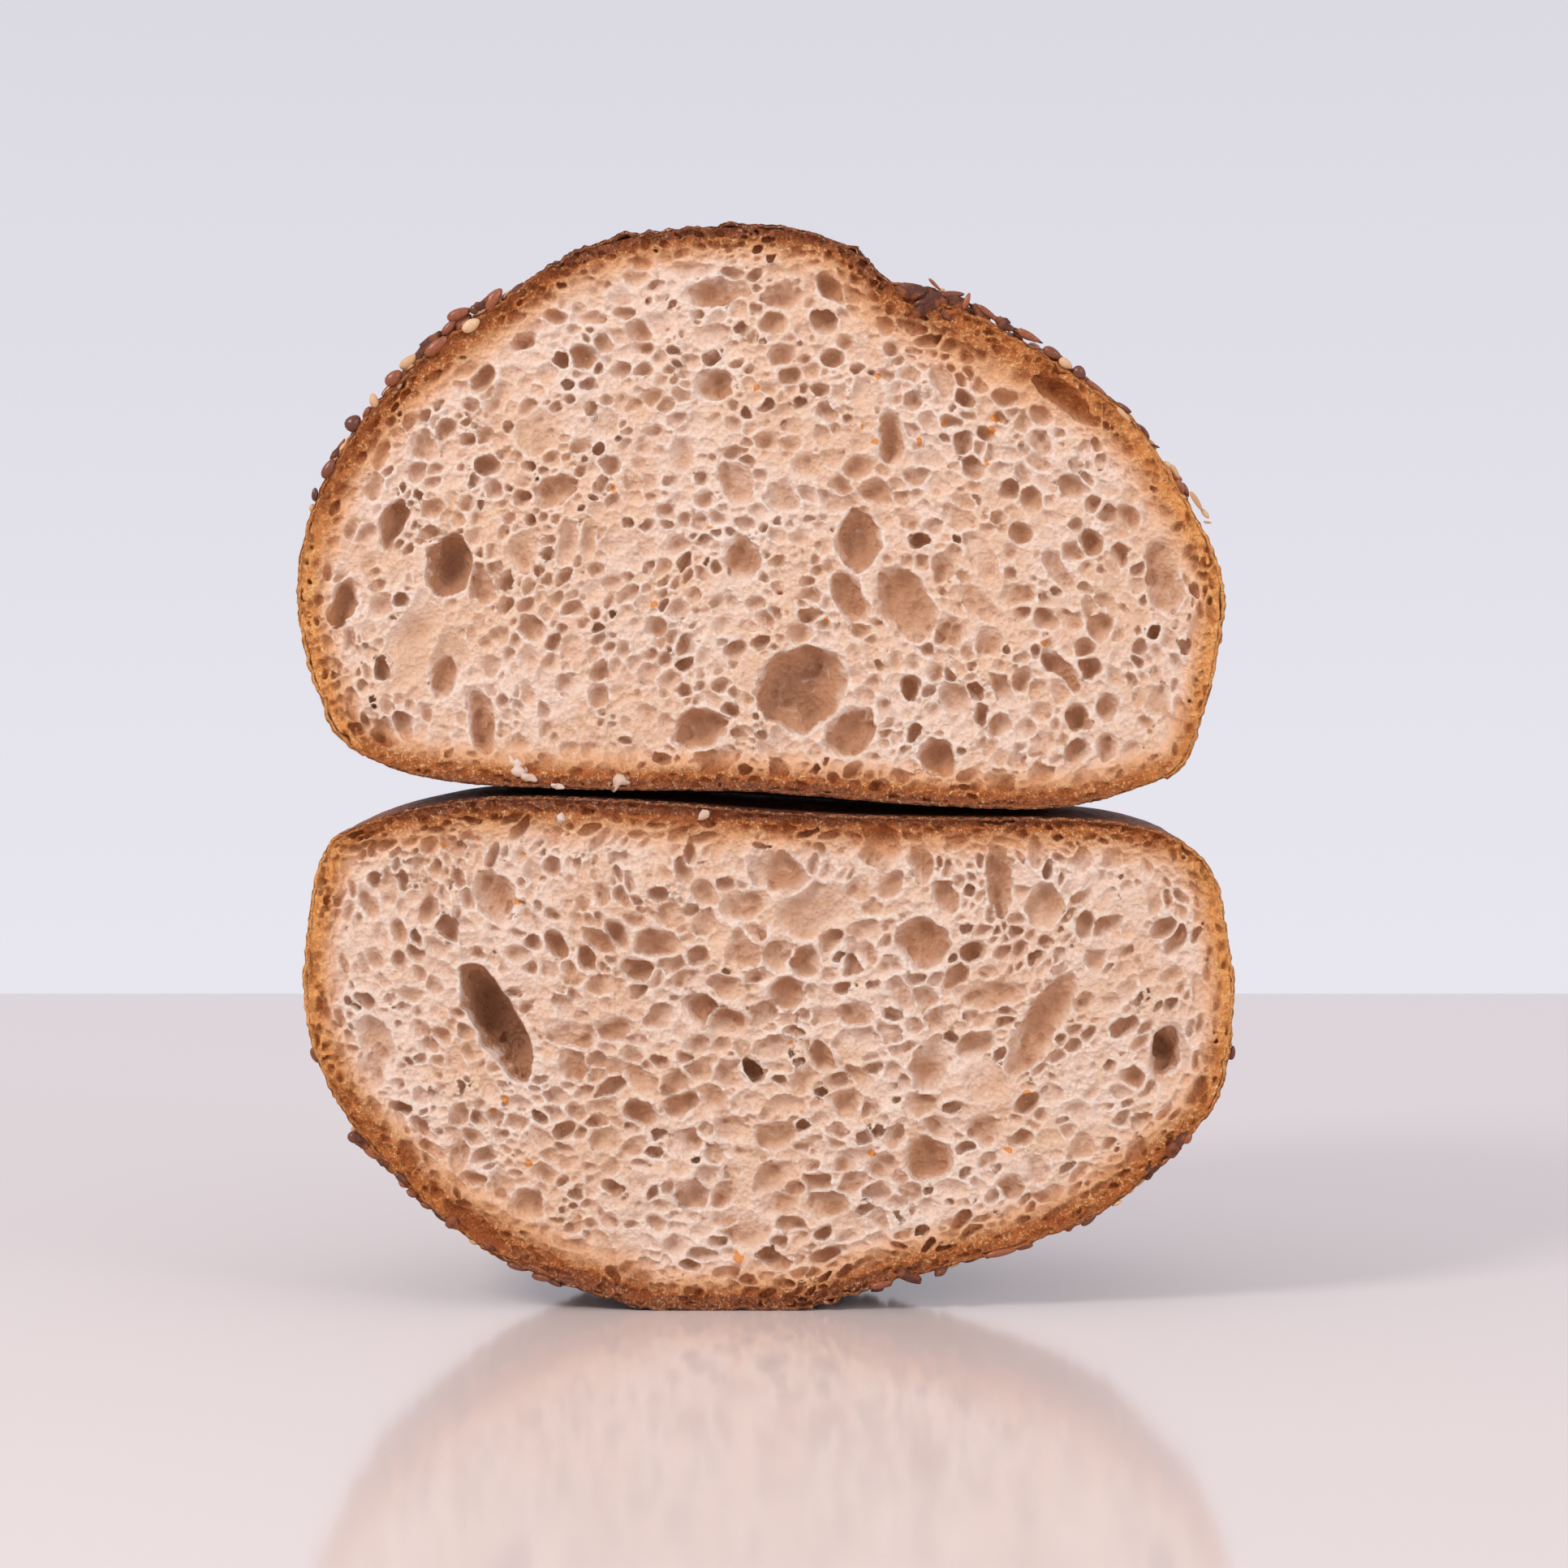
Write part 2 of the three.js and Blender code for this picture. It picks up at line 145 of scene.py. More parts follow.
LOWER = {
    "name": "lower",
    "node": "lower_half",
    "widest_z": 68.0,
    "dome_side": -1,
    "even_length": 26.0,
    "sole_sag": 0.0,
    "grain_centre": (0.0, 100.0),
    "stretch": 1.3,
    "torn": (2.0, 52.0, 62.0, 50.0, 1.5),
    "outline": (
        (-100, 70.8), (-98.4, 88), (-95.1, 100.5), (-87.2, 106.1), (-74.1, 110.1),
        (-56.6, 112.2), (-25.2, 111.5), (6.3, 109.6), (36, 108), (65.7, 107.5),
        (81.5, 105.6), (91.1, 101), (97.3, 93), (100.4, 78), (100.9, 60), (96.3, 43.7),
        (86.7, 33.6), (74.5, 22.7), (58.7, 15.2), (41.3, 10.1), (29, 6.9), (18.5, 3.4),
        (1, -1.8), (-16.4, -1.5), (-33.9, 2.6), (-51.4, 8.6), (-67.1, 17.7),
        (-80.2, 29.7), (-90.7, 42.3), (-97.7, 55.9),
    ),
    "toast": (
        4.5, 4.5, 4.8, 5.5, 6.2, 6.5, 6.5, 5.8, 5.5, 5.5, 5, 4.5, 4.5, 4.5, 4.5, 5, 5.5, 6, 6, 6,
        6, 6, 6, 6, 6.5, 7, 7, 6.5, 5.5, 5,
    ),
    "bake": (
        0.04, 0.04, 0.15, 0.5, 0.8, 0.9, 0.9, 0.8, 0.75, 0.7, 0.6, 0.3, 0.08, 0.04, 0.1, 0.35, 0.5,
        0.5, 0.55, 0.6, 0.7, 0.9, 1, 1, 0.95, 0.7, 0.45, 0.45, 0.4, 0.12,
    ),
    "seed_bands": ((15.2, 20.6), (24.2, 27.8)),
    "pores": (
        (-58.5, 62.5, 14.6, 5, 117, 1.9), (-85, 56, 8.8, 5.2, 100, 0.5),
        (-84.2, 54.5, 5.6, 3.3, 97, 1.05), (-58.5, 90.5, 6, 4.2, 102),
        (-82.8, 91, 5.2, 2.2, 90), (-79, 83, 3.6, 2.2, 112),
        (-67.5, 100.5, 2.9, 2.7, 0), (-87, 95, 2.5, 2, 90), (-90.5, 83, 1.7, 1.3, 90),
        (-76.5, 97, 2.2, 1.8, 90), (-73.3, 100.5, 2.4, 2.2, 0), (-58, 102.5, 3.5, 2.3, 90),
        (-46, 91.5, 3, 1.9, 0), (-51, 85, 4.5, 2.3, 120), (-31, 97, 4, 2, -20),
        (-23.5, 80.5, 4.5, 3, -20), (-41.6, 72.3, 2.6, 2, 0), (-34, 71, 5, 2.4, 0),
        (-29.3, 56, 2.3, 2.1, 0), (-42, 54, 4.5, 3, 110), (-3.5, 52.5, 3.6, 3.2, -10, 2.0),
        (-7, 52, 5, 3.6, -10), (-10, 42.5, 2.6, 2, 0), (-52, 23.5, 3.6, 3, -20),
        (-58, 28, 3.2, 2.6, 90), (-77.5, 34.5, 4, 2.7, 100), (-66.5, 34, 3.8, 2.8, 90),
        (-66, 43, 2.6, 2.3, 90), (-82.5, 42, 2.3, 1.4, 90), (-66.7, 54, 2.7, 1.8, 110),
        (-59.8, 47.5, 3.5, 2, 110), (-57.5, 38, 2.3, 2.1, 0), (-92, 48, 5, 2.2, -52),
        (-62.5, 18.5, 8.5, 2, -38), (-93, 70, 5, 2, 90), (-49.5, 65.5, 3.6, 1.2, -55),
        (-97, 74, 2.5, 1.1, 92), (7, 50, 4.6, 4, -10), (33.7, 79.5, 6.2, 5.4, 0, 0.8),
        (44.5, 77.8, 3.7, 2.4, 25, 1.6), (3, 94.5, 7.5, 4.2, -20), (20.5, 91, 2.6, 2.4, 0),
        (24.5, 99.5, 5, 4.6, 90), (33.3, 97, 4.3, 2.7, 100), (50.5, 93, 8, 2.8, 98),
        (38.7, 89.8, 3.8, 2.7, 100), (58.3, 99.5, 3.7, 2.2, 95), (68, 98, 2.7, 2.4, 90),
        (74.5, 97.5, 3, 2.5, 0), (60, 88.5, 5, 4.2, 90, 0.5), (41, 102, 2.4, 2.2, 0),
        (11.8, 86, 9.5, 7, 10, 0.35), (83.5, 89, 4.7, 2.1, 88), (88.5, 86.5, 2.6, 1.9, 90),
        (80, 80, 3.4, 1.9, 60), (59.5, 62.5, 14, 4.6, 60, 0.75), (86.5, 55.5, 8.2, 4.6, 88, 0.5),
        (86.4, 56, 5.4, 3.5, 85, 2.0), (68, 54.5, 2.3, 1.6, 75), (62, 47.5, 2.6, 2.2, 45),
        (48, 50, 5.4, 5, 0, 0.45), (36, 54, 7.2, 4.2, 68, 0.5), (48.5, 69, 8.5, 3.4, 18, 0.7),
        (35, 33, 6, 5.4, 0), (48, 39.5, 4.3, 4, 0), (19, 34, 5.5, 2.4, 35),
        (18.5, 28, 3.3, 3.1, 0), (13, 23.5, 4, 3, 0), (53.5, 27, 3.6, 2.9, 0),
        (13, 11.5, 4.1, 1.9, 12, 2.0), (79.5, 35.5, 4, 2.5, 70), (93, 47, 4.5, 2.2, 58),
        (65, 22, 6.6, 2, 35), (68.3, 35.5, 3.5, 3.2, 90), (59.5, 30.5, 3, 2.5, 90),
        (28, 20.5, 1.7, 1.4, 0), (58.5, 40.5, 2, 1.6, 0), (67, 43.5, 2.8, 2.5, 0),
        (93.7, 69, 4.7, 2.2, 100), (-5, 78.3, 4, 3.6, 0), (2.5, 77.5, 4, 3.4, 0),
        (4, 69, 4.6, 4, 0), (60, 17.5, 3.2, 1.3, 30),
    ),
}
HALVES = (UPPER, LOWER)

USUAL_TOAST = 5.0  # band width that the toasted colours are told for
USUAL_BAKE = 0.55  # bake of the rounded end
# Small golden flecks baked into the crumb: x, z, radius.
FLECKS = (
    (24, 202, 1.0), (23.5, 188.2, 1.0), (33, 188, 1.1), (49, 193, 1.2), (48.4, 190.4, 1.0),
    (38.5, 192, 1.0), (-53.8, 89, 0.8), (-56.5, 46, 1.2), (-51.5, 32.3, 1.1), (-6, 11.5, 1.4),
    (56.5, 47.5, 1.1), (52.5, 35, 1.0), (23, 34, 1.0), (-2, 199.5, 0.7), (-24, 153, 0.8),
    (-33, 178, 0.7), (47.5, 183.5, 0.8), (20.5, 191.5, 0.8), (-59, 43.5, 0.8), (5, 58, 0.8),
    (-70, 101, 0.7), (13, 150, 0.7), (-12, 170, 0.7), (60, 145, 0.8), (-40, 20, 0.8),
)

# ------------------------------------------------------------------ crumb
GRID_STEP = 0.32         # spacing of the field that the crumb is read from
COARSE_STEP = 1.0        # spacing of what is told from the outline
FIELD_FRONT = -1.4       # the field starts this far in front of the cut
FINE_DEPTH = 3.0         # its layers lie further apart behind this depth
LAYER_GROWTH = 1.15
CRUMB_THICKNESS = 12.5
FAR = 9.0                # distance to a pore that counts as none
CARVE_MARGIN = 2.2       # how far round a pore the distance to it is told
GRAIN_REACH = (100.0, 62.0)    # half sizes of the ellipse that the grain follows
GRAIN_BY_CRUST = (5.0, 14.0)   # it turns from along the crust to the ellipse's between these
RIND = 0.55              # the crumb starts this far inside the skin
CUT_WAVES = ((1.5, 0.16), (2.6, 0.24), (5.5, 0.38), (14.0, 0.3))   # size, height
CUT_BACK = 0.4           # the cut lies this far behind the frame's face on average
RIM_FALL = 0.55          # how far the cut slopes down towards its pores
RAISED_REACH = 1.3       # neighbourhood that a raised rim is told from
MEMBRANE = 0.52          # usual wall between two pores that run into each other
MEMBRANE_SPREAD = 0.55
THINNEST_MEMBRANE = 0.36  # thinner ones are left out
SMALLEST_PORE = 0.5
SHAFT_FROM = 1.1         # depth below which narrow shafts are filled
NOTCH_SIZE = 2.0         # between the notches in the pores' rims
NOTCH_DEPTH = 1.3
CLEAR_SHARE = 0.67       # share of a pore's radius that is clear of the pores made before it
RAGGED_FROM = 1.3        # larger pores have ragged rims, most of them where crumb is torn
FEW_WHERE_TORN = 0.95    # pores below this size are few in torn crumb
CALM_BELOW = 1.3         # small pores stay out of the calm patches of crumb
SOLE_WEAR = (0.35, 0.85, 5.0, 28.0)  # least, most on top of it, where along X, spread
SOLE_WEAR_FADE = (12.0, 24.0)        # depths that the wear ends between
USUAL_DEPTH = 0.8        # depth of a named pore over its half width
SHALLOW_BELOW = 0.6      # a shallower named pore keeps a smooth rim
PORE_PASSES = (          # largest radius, tries
    (3.0, 700), (2.3, 2500), (1.75, 9000), (1.25, 20000), (0.9, 30000), (0.68, 26000),
)
DEEP_FROM = 1.3          # pores with a smaller radius are only shallow dimples
DEEP_REACH = (-0.7, 0.4)       # depths of the pores' centres over their radius
DIMPLE_REACH = (-0.75, -0.05)
SCALLOP_SPACING = 1.8    # along the rim of a pore
SCALLOP_ROWS = 1.6       # rows of them on the pore's wall
SCALLOP_RISE = (-0.1, 1.25)    # turn towards the pore's floor, in radians
SCALLOP_RADIUS = (0.6, 1.5)
POCKETS = 3000           # tries at pockets in torn crumb
POCKET_RADIUS = (1.5, 3.3)
POCKET_LENGTH = (1.1, 1.8)     # over their radius, as their depth
POCKET_DEPTH = (0.65, 1.15)
POCKET_FROM_SKIN = 7     # they stay this far from it
DENTS = 9000             # tries at small dents in the pores' walls and rims
DENT_REACH = (-0.3, 1.6)       # depths of their centres
DENT_RADIUS = (0.45, 0.95)
DENT_NEAR = 0.22         # how near to a pore's wall their centres are
PITS = 7000              # tries at pits in the toasted band
PIT_REACH = (-0.25, 0.5)
PIT_RADIUS = (0.4, 1.1)
WARPS = ((9.0, 1.0), (4.0, 0.85), (2.0, 0.55), (1.0, 0.16))   # size of a swirl, its shift
TEAR_PITCH = 5.2         # between the lips of torn crumb
KNOBS = ((7.0, 0.7), (3.0, 0.4))   # size, height of the knobs of torn crumb
CRUMB_PARTS = ("left", "middle", "right")
PART_OVERLAP = 3         # grid steps that a part reaches under the one to its left
PART_SINK = 0.08         # how far it lies under it there
PART_CUT = -0.05         # the field where a part has ended
CRUMB_TRIANGLES = 190000  # most that a part keeps
CRUMB_FRONT = -0.45      # the crumb stands out from the cut no further than this
LOWEST_CRUMB = 0.45      # over the floor

# ------------------------------------------------------------------ crust
CRUST_STEPS = 1180       # round the outline
SKIN_ROWS = (0.0, 0.35, 0.8, 1.4, 2.1, 3.0, 4.0, 5.2, 6.6, 8.2, 9.8)   # behind the cut
ROW_STEP = 2.0           # between the rows after them
RIM_ROWS = (0.62, 0.46, 0.32, 0.2, 0.08)   # inwards over the cut
EDGE_BACK = (0.3, 0.15)  # how far the skin's first rows are moved back
SHELL_THICKNESS = 2.4
SHELL_BACK = CRUMB_THICKNESS - 0.6
# Height and size of the crust's lumps, of its edge's at the cut, and of a flake's.
CRUST_LUMPS = ((0.3, 7.0), (0.2, 2.6), (0.13, 1.1))
EDGE_LUMPS = ((0.5, 1.2), (0.34, 2.3))
FLAKE_LUMPS = ((1.0, 1.1), (0.7, 2.4), (0.5, 0.6))


# ------------------------------------------------------------------ small helpers
def smoothstep(value, low, high):
    t = np.clip((value - low) / (high - low), 0.0, 1.0)
    return t * t * (3.0 - 2.0 * t)


def on_curve(corners, place):
    """Points of a closed smooth curve through the corners, at places from 0 to 1."""
    corners = np.asarray(corners, float)
    count = len(corners)
    t = (np.asarray(place, float) % 1.0) * count
    i = np.floor(t).astype(int)
    f = (t - i)[..., None]
    before, here = corners[(i - 1) % count], corners[i % count]
    ahead, beyond = corners[(i + 1) % count], corners[(i + 2) % count]
    return 0.5 * (
        2 * here
        + (ahead - before) * f
        + (2 * before - 5 * here + 4 * ahead - beyond) * f**2
        + (3 * here - before - 3 * ahead + beyond) * f**3
    )


def superellipse(t, power):
    return (1.0 - t**power) ** (1.0 / power)


def skin(half, place, depth):
    """Points of a half's outer skin, in millimetres."""
    place, depth = np.broadcast_arrays(np.asarray(place, float), np.asarray(depth, float))
    edge = on_curve(half["outline"], place)
    x, z = edge[..., 0], edge[..., 1]
    rise = z - half["widest_z"]
    on_dome = rise * half["dome_side"] > 0
    t = np.clip((depth - half["even_length"]) / (HALF_LENGTH - half["even_length"]), 0, 1)
    across = superellipse(t, PLAN_POWER)
    upright = np.where(on_dome, superellipse(t, DOME_POWER), superellipse(t, SOLE_POWER))
    settle = np.where(on_dome, 0, half["sole_sag"] * np.sin(np.pi * depth / HALF_LENGTH))
    fade = smoothstep(depth, UNEVEN_FROM, UNEVEN_TO) * np.where(on_dome, across, 0)
    fade = fade * smoothstep(np.abs(rise), 0, 40)
    swell = sum(
        height * np.sin(2 * np.pi * (turns * place + depth / pitch) + phase)
        for height, turns, pitch, phase in UNEVEN_WAVES
    )
    stretch = 1 + fade * swell / np.hypot(x, rise)
    height = half["widest_z"] + rise * upright * stretch - settle
    return np.stack((x * across * stretch, CUT_Y + depth, np.maximum(height, 0.0)), -1)


def lumps(points, size, seed):
    """Smooth random lumps between -1 and 1, of about the given size."""
    cells = 32
    table = np.random.default_rng(seed).uniform(-1, 1, (cells, cells, cells))
    q = np.asarray(points, float) / size
    i = np.floor(q).astype(int)
    f = q - i
    f = f * f * (3 - 2 * f)
    value = 0.0
    for corner in range(8):
        dx, dy, dz = corner & 1, corner >> 1 & 1, corner >> 2 & 1
        weight = (
            (f[..., 0] if dx else 1 - f[..., 0])
            * (f[..., 1] if dy else 1 - f[..., 1])
            * (f[..., 2] if dz else 1 - f[..., 2])
        )
        value = value + weight * table[
            (i[..., 0] + dx) % cells, (i[..., 1] + dy) % cells, (i[..., 2] + dz) % cells
        ]
    return value


def layered(points, layers, seed):
    """A sum of lumps, each layer with a height, a size and a seed of its own."""
    return sum(
        height * lumps(points, size, seed + number) for number, (height, size) in enumerate(layers)
    )


def new_mesh(name, points_mm, faces, attributes=None, smooth=True):
    """A mesh object in metres from an array of points and an array of equal-sided faces."""
    mesh = bpy.data.meshes.new(name)
    faces = np.asarray(faces, np.int32)
    sides = faces.shape[1]
    mesh.vertices.add(len(points_mm))
    mesh.vertices.foreach_set("co", (np.asarray(points_mm) * MM).astype(np.float32).ravel())
    mesh.loops.add(faces.size)
    mesh.loops.foreach_set("vertex_index", faces.ravel())
    mesh.polygons.add(len(faces))
    mesh.polygons.foreach_set("loop_start", np.arange(0, faces.size, sides, dtype=np.int32))
    mesh.update(calc_edges=True)
    if smooth:
        mesh.polygons.foreach_set("use_smooth", np.ones(len(faces), bool))
    for key, values in (attributes or {}).items():
        layer = mesh.attributes.new(key, "FLOAT", "POINT")
        layer.data.foreach_set("value", np.asarray(values, np.float32))
    piece = bpy.data.objects.new(name, mesh)
    bpy.context.scene.collection.objects.link(piece)
    return piece


# ------------------------------------------------------------------ crumb field
def depth_inside(half, x, z):
    """Distance inside the cut outline over a grid, and the nearest place on the outline."""
    count = 480
    corners = on_curve(half["outline"], np.arange(count) / count)
    gx, gz = np.meshgrid(x, z, indexing="ij")
    nearest = np.full(gx.shape, 1e9)
    nearest_place = np.zeros(gx.shape)
    inside = np.zeros(gx.shape, bool)
    for number, ((ax, az), (bx, bz)) in enumerate(zip(corners, np.roll(corners, -1, axis=0))):
        ex, ez = bx - ax, bz - az
        t = np.clip(((gx - ax) * ex + (gz - az) * ez) / (ex * ex + ez * ez), 0, 1)
        distance = (gx - ax - t * ex) ** 2 + (gz - az - t * ez) ** 2
        closer = distance < nearest
        nearest = np.where(closer, distance, nearest)
        nearest_place = np.where(closer, (number + t) / count, nearest_place)
        crosses = (az > gz) != (bz > gz)
        if ez:
            inside ^= crosses & (gx < ax + (gz - az) * ex / ez)
    return np.where(inside, 1, -1) * np.sqrt(nearest), nearest_place


def spline_rows(axis, cell):
    """Weights that spread coarse random knots smoothly over a fine axis."""
    t = (axis - axis[0]) / cell + 1
    offset = np.abs(t[:, None] - np.arange(int(t[-1]) + 4)[None, :])
    near = 2 / 3 - offset**2 + offset**3 / 2
    far = np.maximum(2 - offset, 0) ** 3 / 6
    return np.where(offset < 1, near, far).astype(np.float32)


def smooth_field(axes, cell, rng):
    """Smooth noise over a whole grid, about -1 to 1."""
    rows = [spline_rows(axis, cell) for axis in axes]
    field = rng.uniform(-1, 1, [r.shape[1] for r in rows]).astype(np.float32)
    for row in rows:
        field = np.tensordot(field, row, (0, 1))
    return field * 1.9


class Crumb:
    """The crumb of one half as a field over a grid: positive in bread, negative in air."""

    def __init__(self, half, seed):
        self.half = half
        self.rng = np.random.default_rng(seed)
        outline = np.asarray(half["outline"], float)
        low, high = outline.min(0), outline.max(0)
        self.x = np.arange(low[0], high[0], GRID_STEP)
        self.z = np.arange(low[1], high[1], GRID_STEP)
        layers = list(np.arange(FIELD_FRONT, FINE_DEPTH, GRID_STEP))
        gap = GRID_STEP
        while layers[-1] < CRUMB_THICKNESS + 0.6:
            gap *= LAYER_GROWTH
            layers.append(layers[-1] + gap)
        self.y = np.array(layers)
        self.axes = (self.x, self.z, self.y)
        self.shape = tuple(len(axis) for axis in self.axes)
        coarse = [
            np.arange(first, last + 1.2 * COARSE_STEP, COARSE_STEP)
            for first, last in zip(low, high)
        ]
        inside, place = depth_inside(half, *coarse)
        self.inside, self.sole, self.toast, self.bake = (
            self.spread(*coarse, values)
            for values in (
                inside,
                sole_mask(half, place),
                told_along(half, "toast", place),
                told_along(half, "bake", place),
            )
        )
        self.lean = self.grain_lean()
        self.torn = self.torn_share(self.x[:, None], self.z[None, :])
        self.tear = self.tears()
        grid = np.meshgrid(*self.axes, indexing="ij")
        self.at = [axis.astype(np.float32) for axis in grid]
        for cell, shift in WARPS:
            for axis in self.at:
                axis += shift * smooth_field(self.axes, cell, self.rng)
        # Distances to the nearest pore's wall and to the next one's.
        self.nearest = np.full(self.shape, FAR, np.float32)
        self.second = np.full(self.shape, FAR, np.float32)

    def spread(self, coarse_x, coarse_z, values):
        """Values from a coarse grid of x and z, laid over the fine one."""
        rows = np.array([np.interp(self.z, coarse_z, row) for row in values])
        columns = [np.interp(self.x, coarse_x, rows[:, k]) for k in range(rows.shape[1])]
        return np.array(columns).T.astype(np.float32)

    def grain_lean(self):
        """Lean of the pores: along the crust beside it, and round the grain's centre within."""
        cx, cz = self.half["grain_centre"]
        gx, gz = np.gradient(self.inside, GRID_STEP)
        wide, high = GRAIN_REACH
        dx = (self.x[:, None] - cx) / wide**2
        dz = (self.z[None, :] - cz) / high**2
        size = np.hypot(dx, dz) + 1e-6
        by_crust = 1 - smoothstep(self.inside, *GRAIN_BY_CRUST)
        nx = -gx * by_crust + dx / size * (1 - by_crust)
        nz = -gz * by_crust + dz / size * (1 - by_crust)
        return np.arctan2(nx, -nz)

    def spots(self, tries):
        """Random grid places on the cut face."""
        return [self.rng.integers(0, size, tries) for size in self.shape[:2]]

    def swirled(self, *cell):
        """Where a grid cell has been shifted to, as x, z and y."""
        return [float(axis[cell]) for axis in self.at]

    def carve(self, x, z, y, half_long, half_wide, half_deep, lean, walled=True):
        """Takes one rounded pore out of the bread, with a wall kept where two pores meet."""
        reach = max(half_long, half_wide, half_deep) + CARVE_MARGIN
        spans = []
        for axis, centre in zip(self.axes, (x, z, y)):
            first, last = np.searchsorted(axis, (centre - reach, centre + reach))
            if last <= first:
                return
            spans.append(slice(first, last))
        spans = tuple(spans)
        dx = self.at[0][spans] - x
        dz = self.at[1][spans] - z
        dy = self.at[2][spans] - y
        cos, sin = math.cos(lean), math.sin(lean)
        along = (dx * cos + dz * sin) / half_long
        beside = (dz * cos - dx * sin) / half_wide
        behind = dy / half_deep
        ratio = np.sqrt(along * along + beside * beside + behind * behind) + 1e-4
        distance = np.sqrt(dx * dx + dz * dz + dy * dy) * (1 - 1 / ratio)
        one = self.nearest[spans]
        if walled:
            two = self.second[spans]
            np.minimum(two, np.maximum(one, distance), out=two)
        np.minimum(one, distance, out=one)

    def named_pores(self):
        for x, z, half_long, half_wide, lean, *deep in self.half["pores"]:
            depth_ratio = deep[0] if deep else USUAL_DEPTH
            half_deep = min(half_wide * depth_ratio + 0.4, CRUMB_THICKNESS - 2.5)
            i, j, k = (np.searchsorted(a, v) for a, v in zip(self.axes, (x, z, 0.0)))
            nested = self.nearest[i, j, k] < -1.0
            shape = (
                x, z, float(self.tear[i, j]), half_long, half_wide, half_deep, math.radians(lean),
            )
            self.carve(*shape, walled=not nested)
            if depth_ratio > SHALLOW_BELOW:
                self.scallops(*shape)

    def scallops(self, x, z, y, half_long, half_wide, half_deep, lean):
        """Smaller pores that open into the wall of a larger one and make its rim ragged."""
        count = int(math.pi * (half_long + half_wide) / SCALLOP_SPACING * SCALLOP_ROWS)
        cos, sin = math.cos(lean), math.sin(lean)
        for _ in range(count):
            turn = self.rng.uniform(0, 2 * math.pi)
            rise = self.rng.uniform(*SCALLOP_RISE)
            radius = self.rng.uniform(*SCALLOP_RADIUS) * min(1.0, 0.35 + half_wide / 5)
            inset = 0.5 * radius
            along = math.cos(turn) * math.cos(rise) * (half_long - inset)
            beside = math.sin(turn) * math.cos(rise) * (half_wide - inset)
            behind = math.sin(rise) * (half_deep - inset)
            self.carve(
                x + along * cos - beside * sin, z + along * sin + beside * cos, y + behind,
                radius * 1.15, radius * 0.9, radius * 0.9, lean, walled=False,
            )

    def scattered_pores(self):
        """Fills the bread between the named pores with ever smaller ones."""
        self.pockets()
        stretch_most = self.half["stretch"]
        busy = smooth_field((self.x, self.z), 6.5, self.rng)
        for largest, tries in PORE_PASSES:
            i, j = self.spots(tries)
            calm = largest < CALM_BELOW
            depth = self.rng.uniform(*(DEEP_REACH if largest > DEEP_FROM else DIMPLE_REACH), tries)
            vary = self.rng.uniform(0.6, 1.0, tries)
            lean_noise = self.rng.normal(0, 0.28, tries)
            near_crust = self.inside[i, j]
            wanted = (near_crust > RIND + 0.9) & ((busy[i, j] > -0.22) | (not calm))
            for n in np.nonzero(wanted)[0]:
                a, b = i[n], j[n]
                torn = min(float(self.torn[a, b]) * self.half["torn"][-1], 1.0)
                if largest < FEW_WHERE_TORN and torn * vary[n] > 0.5:
                    continue
                allowed = min(largest * vary[n], 0.5 + near_crust[n] * 0.2) * (1 + 0.35 * torn)
                c = np.searchsorted(self.y, CUT_BACK + self.tear[a, b] + depth[n] * allowed)
                radius = min(allowed, float(self.nearest[a, b, c]) / CLEAR_SHARE)
                if radius < SMALLEST_PORE or radius < allowed * 0.7:
                    continue
                ring = smoothstep(18 - near_crust[n], 0.0, 12.0)
                stretch = 1.0 + stretch_most * (0.45 + 0.55 * ring) * (0.6 + vary[n] / 2)
                shape = (
                    *self.swirled(a, b, c),
                    radius * stretch**0.5, radius / stretch**0.5, radius * 0.92,
                    float(self.lean[a, b]) + lean_noise[n],
                )
                self.carve(*shape)
                if radius > RAGGED_FROM and vary[n] < 0.75 + 0.25 * torn:
                    self.scallops(*shape)

    def torn_share(self, x, z):
        """How torn the crumb is at a spot, from 0 to 1."""
        cx, cz, wide, high, _ = self.half["torn"]
        return 1 - smoothstep(np.hypot((x - cx) / wide, (z - cz) / high), 0.45, 1.0)

    def pockets(self):
        """Flat pockets under the lips of the torn crumb."""
        deepest = self.half["torn"][-1]
        i, j = self.spots(POCKETS)
        share = self.torn[i, j] * min(deepest, 1.0)
        for n in np.nonzero(share > self.rng.uniform(0.25, 0.9, POCKETS))[0]:
            a, b = i[n], j[n]
            back = CUT_BACK + float(self.tear[a, b])
            k = np.searchsorted(self.y, back)
            half_wide = self.rng.uniform(*POCKET_RADIUS)
            if self.nearest[a, b, k] < half_wide * 0.65 or self.inside[a, b] < POCKET_FROM_SKIN:
                continue
            x, z, _ = self.swirled(a, b, k)
            half_long = half_wide * self.rng.uniform(*POCKET_LENGTH)
            half_deep = half_wide * self.rng.uniform(*POCKET_DEPTH)
            lean = self.rng.normal(0, 0.45) - 0.004 * (x - self.half["torn"][0])
            shape = (x, z, back, half_long, half_wide, half_deep, lean)
            self.carve(*shape)
            self.scallops(*shape)

    def dents(self):
        """Nibbles at the pores' walls and rims."""
        i, j = self.spots(DENTS)
        k = np.searchsorted(self.y, self.tear[i, j] + self.rng.uniform(*DENT_REACH, DENTS))
        radius = self.rng.uniform(*DENT_RADIUS, DENTS)
        near = np.abs(self.nearest[i, j, k]) < DENT_NEAR
        for n in np.nonzero(near & (self.inside[i, j] > RIND + 1))[0]:
            half_sizes = radius[n], radius[n] * 0.8, radius[n] * 0.7
            self.carve(*self.swirled(i[n], j[n], k[n]), *half_sizes, 0.0, walled=False)

